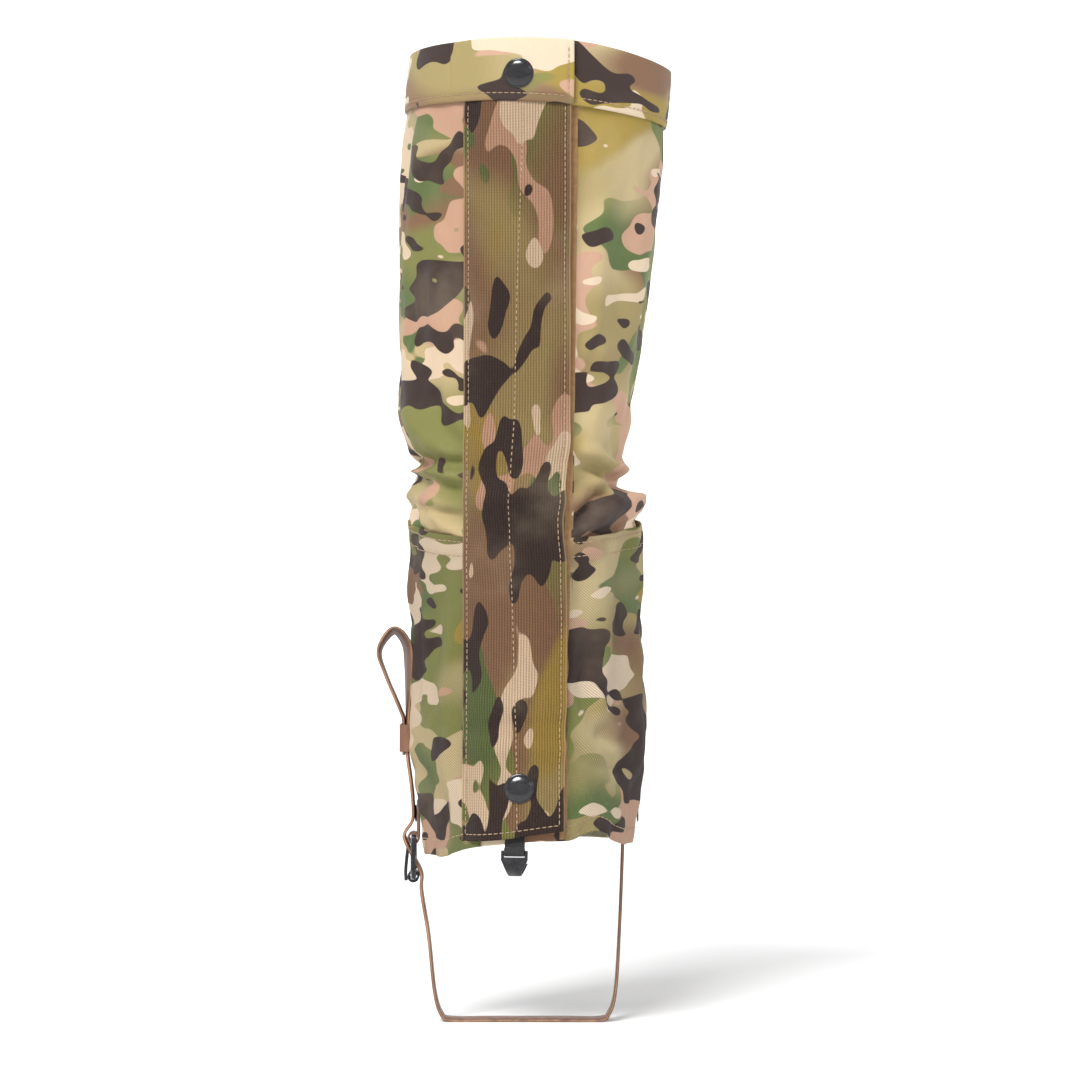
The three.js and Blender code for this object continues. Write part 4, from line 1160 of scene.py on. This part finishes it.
def refined(node, name, look, body, bevel):
    """A copy of a CAD node with rounded edges, which stands for it."""
    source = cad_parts[node]
    piece = bpy.data.objects.new(name, source.data.copy())
    bpy.context.scene.collection.objects.link(piece)
    mesh = bmesh.new()
    mesh.from_mesh(piece.data)
    bmesh.ops.remove_doubles(mesh, verts=mesh.verts, dist=1e-6)
    flat_limit = math.radians(3)
    bmesh.ops.dissolve_limit(mesh, angle_limit=flat_limit, verts=mesh.verts, edges=mesh.edges)
    for face in mesh.faces:
        face.smooth = True
    mesh.to_mesh(piece.data)
    mesh.free()
    if piece.data.has_custom_normals:
        bpy.context.view_layer.objects.active = piece
        with bpy.context.temp_override(object=piece, active_object=piece):
            bpy.ops.mesh.customdata_custom_splitnormals_clear()
    modifier = piece.modifiers.new("round", "BEVEL")
    modifier.width = bevel
    modifier.segments = 3
    modifier.limit_method = "ANGLE"
    modifier.angle_limit = math.radians(32)
    modifier.harden_normals = True
    piece.data.materials.clear()
    piece.data.materials.append(LOOKS[look])
    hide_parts(node)
    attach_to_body(piece, body)
    return piece


def snap_dome(node, profile):
    """A turned cap on the same axis as a snap's CAD node: profile is (radius, height) in metres,
    with height 0 at the node's outermost face and growing outwards."""
    low, high = box_low(node), box_high(node)
    z = (low[2] + high[2]) / 2
    small = 1 * MM
    angle = float(angle_at(SNAP_X, z))
    across = skin(angle + 0.01, z) - skin(angle - 0.01, z)
    up = skin(angle, z + small) - skin(angle, z - small)
    out = Vector(np.cross(across, up)).normalized()
    data = np.array([v.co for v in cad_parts[node].data.vertices])
    reach = data @ np.array(out)
    on_axis = Vector(data.mean(0))
    base = on_axis + out * (reach.max() - on_axis.dot(out))
    turn = np.array(Vector((0, 0, 1)).rotation_difference(out).to_matrix())
    points, faces = lathe(profile, 48)
    points = points @ turn.T + np.array(base)
    piece = make_object(node + "_dome", points, faces, [LOOKS["gloss"]])
    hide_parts(node)
    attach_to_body(piece, "front_flap")


def make_snaps():
    radius, height = 7.5 * MM, 2.6 * MM
    profile = [
        (0, -6.5 * MM), (1.5 * MM, -6.5 * MM), (1.5 * MM, -height), (radius - 0.4 * MM, -height),
        (radius - 0.1 * MM, -height + 0.1 * MM), (radius, -height + 0.4 * MM),
        (radius - 0.1 * MM, -height + 0.75 * MM), (radius - 0.55 * MM, -height + 0.8 * MM),
    ]
    steps = 14
    for i in range(steps + 1):
        turn = math.pi / 2 * i / steps
        wide = (radius - 0.75 * MM) * math.cos(turn) ** 0.8 if i < steps else 0
        profile.append((wide, -height + 0.8 * MM + (height - 0.8 * MM) * math.sin(turn) ** 0.9))
    for end in ("top", "bottom"):
        snap_dome(f"snap_cap_{end}", profile)


def carry_over():
    """The CAD pieces whose shape is right get the detailed materials."""
    nodes = ["outer_rivet_burr", "inner_rivet_burr"]
    for kind in ("socket", "stud", "stud_back"):
        nodes += [f"snap_{kind}_top", f"snap_{kind}_bottom"]
    for node in nodes:
        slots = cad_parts[node].data.materials
        slots.clear()
        slots.append(LOOKS["metal"])


def make_hardware():
    for node, name, look, body, bevel, slot in [
        ("lace_hook", "lace_hook_plate", "metal", "lace_hook", 0.35 * MM, "black_metal"),
        ("hook_webbing", "hook_webbing_loop", "webbing", "shell", 0.25 * MM, "webbing"),
        ("buckle_frame", "buckle_frame_bars", "metal", "foot_strap", 0.7 * MM, "black_metal"),
        ("buckle_prong", "buckle_prong_pin", "metal", "buckle_prong", 0.45 * MM, "black_metal"),
        ("buckle_roller", "buckle_roller_tube", "metal", "buckle_roller", 0.3 * MM, "black_metal"),
        ("buckle_tab", "buckle_tab_strap", "strap", "foot_strap", 0.3 * MM, "strap"),
        ("strap_keeper", "strap_keeper_loop", "strap", "shell", 0.35 * MM, "strap"),
        ("outer_rivet", "outer_rivet_head", "metal", "shell", 0.25 * MM, "black_metal"),
        ("inner_rivet", "inner_rivet_head", "metal", "shell", 0.25 * MM, "black_metal"),
    ]:
        refined(node, name, look, body, bevel)


# ---- The strap ----

STRAP_WIDTH = 16 * MM
STRAP_WALL = 1.5 * MM


def catmull(points, steps):
    """A smooth curve through points, `steps` places on each stretch."""
    points = np.array(points, float)
    padded = np.concatenate([[2 * points[0] - points[1]], points, [2 * points[-1] - points[-2]]])
    result = []
    for p0, p1, p2, p3 in zip(padded, padded[1:], padded[2:], padded[3:]):
        for t in np.arange(steps) / steps:
            result.append(0.5 * (
                2 * p1 + (p2 - p0) * t + (2 * p0 - 5 * p1 + 4 * p2 - p3) * t ** 2
                + (3 * p1 - p0 - 3 * p2 + p3) * t ** 3
            ))
    result.append(points[-1])
    return np.array(result)


def strap_route():
    """The strap's middle line (X, Z): under the boot, through the buckle, and back on itself.
    It is worked out in mm and given in metres."""
    def low(node):
        return box_low(node) / MM

    def high(node):
        return box_high(node) / MM

    bar_z = high("buckle_frame")[2] - 1.3
    roller_z = (low("buckle_roller")[2] + high("buckle_roller")[2]) / 2
    buckle_x = (low("buckle_frame")[0] + high("buckle_frame")[0]) / 2
    behind_roller = buckle_x + 4.1
    over_eye = buckle_x - 4.3
    over_rivet = low("outer_rivet")[0] - 1.1
    anchor = high("foot_strap")[0] - 0.8
    keeper_low, keeper_high = low("strap_keeper"), high("strap_keeper")
    first = keeper_high[0] - 2.0
    second = first - 1.9
    under = -0.8
    pivot_z = 105
    side, flat = 46.5, 38
    top = high("strap_tail")[2] - 0.8
    out = low("strap_tail")[0] + 0.8
    return MM * np.array([
        (anchor, pivot_z + 7), (anchor, pivot_z), (anchor - 0.5, 84),
        (side + 2, 45), (side, 14), (flat + 5, 2), (flat, under),
        (20, under), (0, under), (-20, under),
        (-flat, under), (-flat - 5, 2), (-side, 14), (-side - 3, 42),
        (behind_roller, roller_z - 8), (behind_roller, roller_z + 1),
        ((behind_roller + over_eye) / 2, (roller_z + bar_z) / 2),
        (over_eye, bar_z - 1), (over_eye, bar_z + 3),
        (over_rivet, pivot_z - 3), (over_rivet, pivot_z + 8),
        ((over_rivet + first) / 2, pivot_z + 20),
        (first, keeper_low[2] - 1), (first, keeper_high[2] + 1),
        (first + 0.5, top - 22), (first - 0.5, top - 7),
        ((first + out) / 2, top), (out, top - 10), (out + 3, top - 22),
        (second - 2, keeper_high[2] + 8), (second, keeper_high[2] + 1),
        (second, keeper_low[2] - 2),
    ])


def make_strap():
    steps = 8
    knots = strap_route()
    route = catmull(knots, steps)
    line = np.stack([route[:, 0], 0 * route[:, 0], route[:, 1]], -1)
    along = unit_vectors(np.gradient(line, axis=0))
    loop_start = (len(knots) - 10) * steps
    place = np.arange(len(line))
    in_loop = unit((place - loop_start) / (6 * steps))
    twist = math.radians(16) * np.sin(math.pi * in_loop) ** 2
    across = np.stack([0 * twist, np.cos(twist), 0 * twist], -1)
    outward = np.cross(along, [0, 1, 0])
    across = unit_vectors(across + outward * np.sin(twist)[:, None])
    outward = np.cross(along, across)

    # The section: a flat band with rounded edges, and two pressed lines along its faces.
    half, wall = STRAP_WIDTH / 2, STRAP_WALL / 2
    groove = 0.12 * MM
    side = [
        (-half, -0.35 * wall), (-half + 0.25 * MM, -wall), (-half + 1.5 * MM, -wall),
        (-half + 1.9 * MM, -wall + groove), (-half + 2.3 * MM, -wall),
        (half - 2.3 * MM, -wall), (half - 1.9 * MM, -wall + groove), (half - 1.5 * MM, -wall),
        (half - 0.25 * MM, -wall), (half, -0.35 * wall),
    ]
    y, n = np.array(side + [(-y, -n) for y, n in side]).T
    count = len(y)
    end_round = 6 * MM
    lengths = path_lengths(line)
    from_end = np.minimum(lengths, lengths[-1] - lengths)
    narrow = np.sqrt(1 - (1 - np.clip(from_end / end_round, 0.02, 1)) ** 2)
    points = (
        line[:, None] + across[:, None] * (narrow[:, None] * y)[..., None]
        + outward[:, None] * n[:, None]
    )
    edge_faces = {count // 2 - 1, count - 1}
    kinds = [int(k in edge_faces) for k in range(count)] * (len(line) - 1) + [1, 1]
    strap = make_object(
        "boot_strap", points.reshape(-1, 3), tube_faces(len(line), count),
        [LOOKS["strap"], LOOKS["strap_edge"]], face_materials=kinds,
    )
    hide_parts("foot_strap", "strap_tail")
    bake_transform(strap)


# ---- Scene ----


def make_floor():
    """A round floor that curves up into a low wall."""
    profile = [(5.9, 2.6), (5.8, 0.9), (5.6, 0.4), (5.2, 0.1), (4.6, 0), (2.5, 0), (0, 0)]
    points, faces = lathe(profile, 72)
    nodes = Nodes("pale_studio")
    nodes.set(Base_Color=linear(248, 248, 248), Roughness=0.9)
    floor = make_object("studio_sweep", points, faces, [nodes.material])
    floor.location.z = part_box("foot_strap")[0].z


def sun(name, place, energy, spread):
    """A sun that shines from a place towards the middle of the gaiter."""
    light = bpy.data.lights.new(name, "SUN")
    light.energy = energy
    light.angle = math.radians(spread)
    lamp = bpy.data.objects.new(name, light)
    lamp.location = place
    aim = Vector((0, 0, 0.28)) - Vector(place)
    lamp.rotation_euler = aim.to_track_quat("-Z", "Y").to_euler()
    bpy.context.scene.collection.objects.link(lamp)


def make_lights():
    sun("key", (-0.7, -1.7, 2.1), 3.3, 24)
    sun("fill", (1.9, -1.2, 0.9), 0.9, 50)
    world = bpy.data.worlds.new("studio")
    bpy.context.scene.world = world
    world.use_nodes = True
    background = world.node_tree.nodes["Background"]
    background.inputs["Color"].default_value = (1, 1, 1, 1)
    background.inputs["Strength"].default_value = 0.55


def make_camera():
    data = bpy.data.cameras.new("camera")
    camera = bpy.data.objects.new("camera", data)
    bpy.context.scene.collection.objects.link(camera)
    data.sensor_width = 36
    data.lens = 142.5
    camera.location = (7.7 * MM, -2.2, 245.6 * MM)
    camera.rotation_euler = (math.pi / 2, 0, 0)
    bpy.context.scene.camera = camera
    bpy.context.scene.view_settings.view_transform = "Standard"


make_camera()
make_upper_panels()
make_lower_panels()
make_collar()
make_flap()
make_placket()
make_tapes()
make_elastics()
make_snaps()
make_hardware()
make_strap()
carry_over()
make_floor()
make_lights()
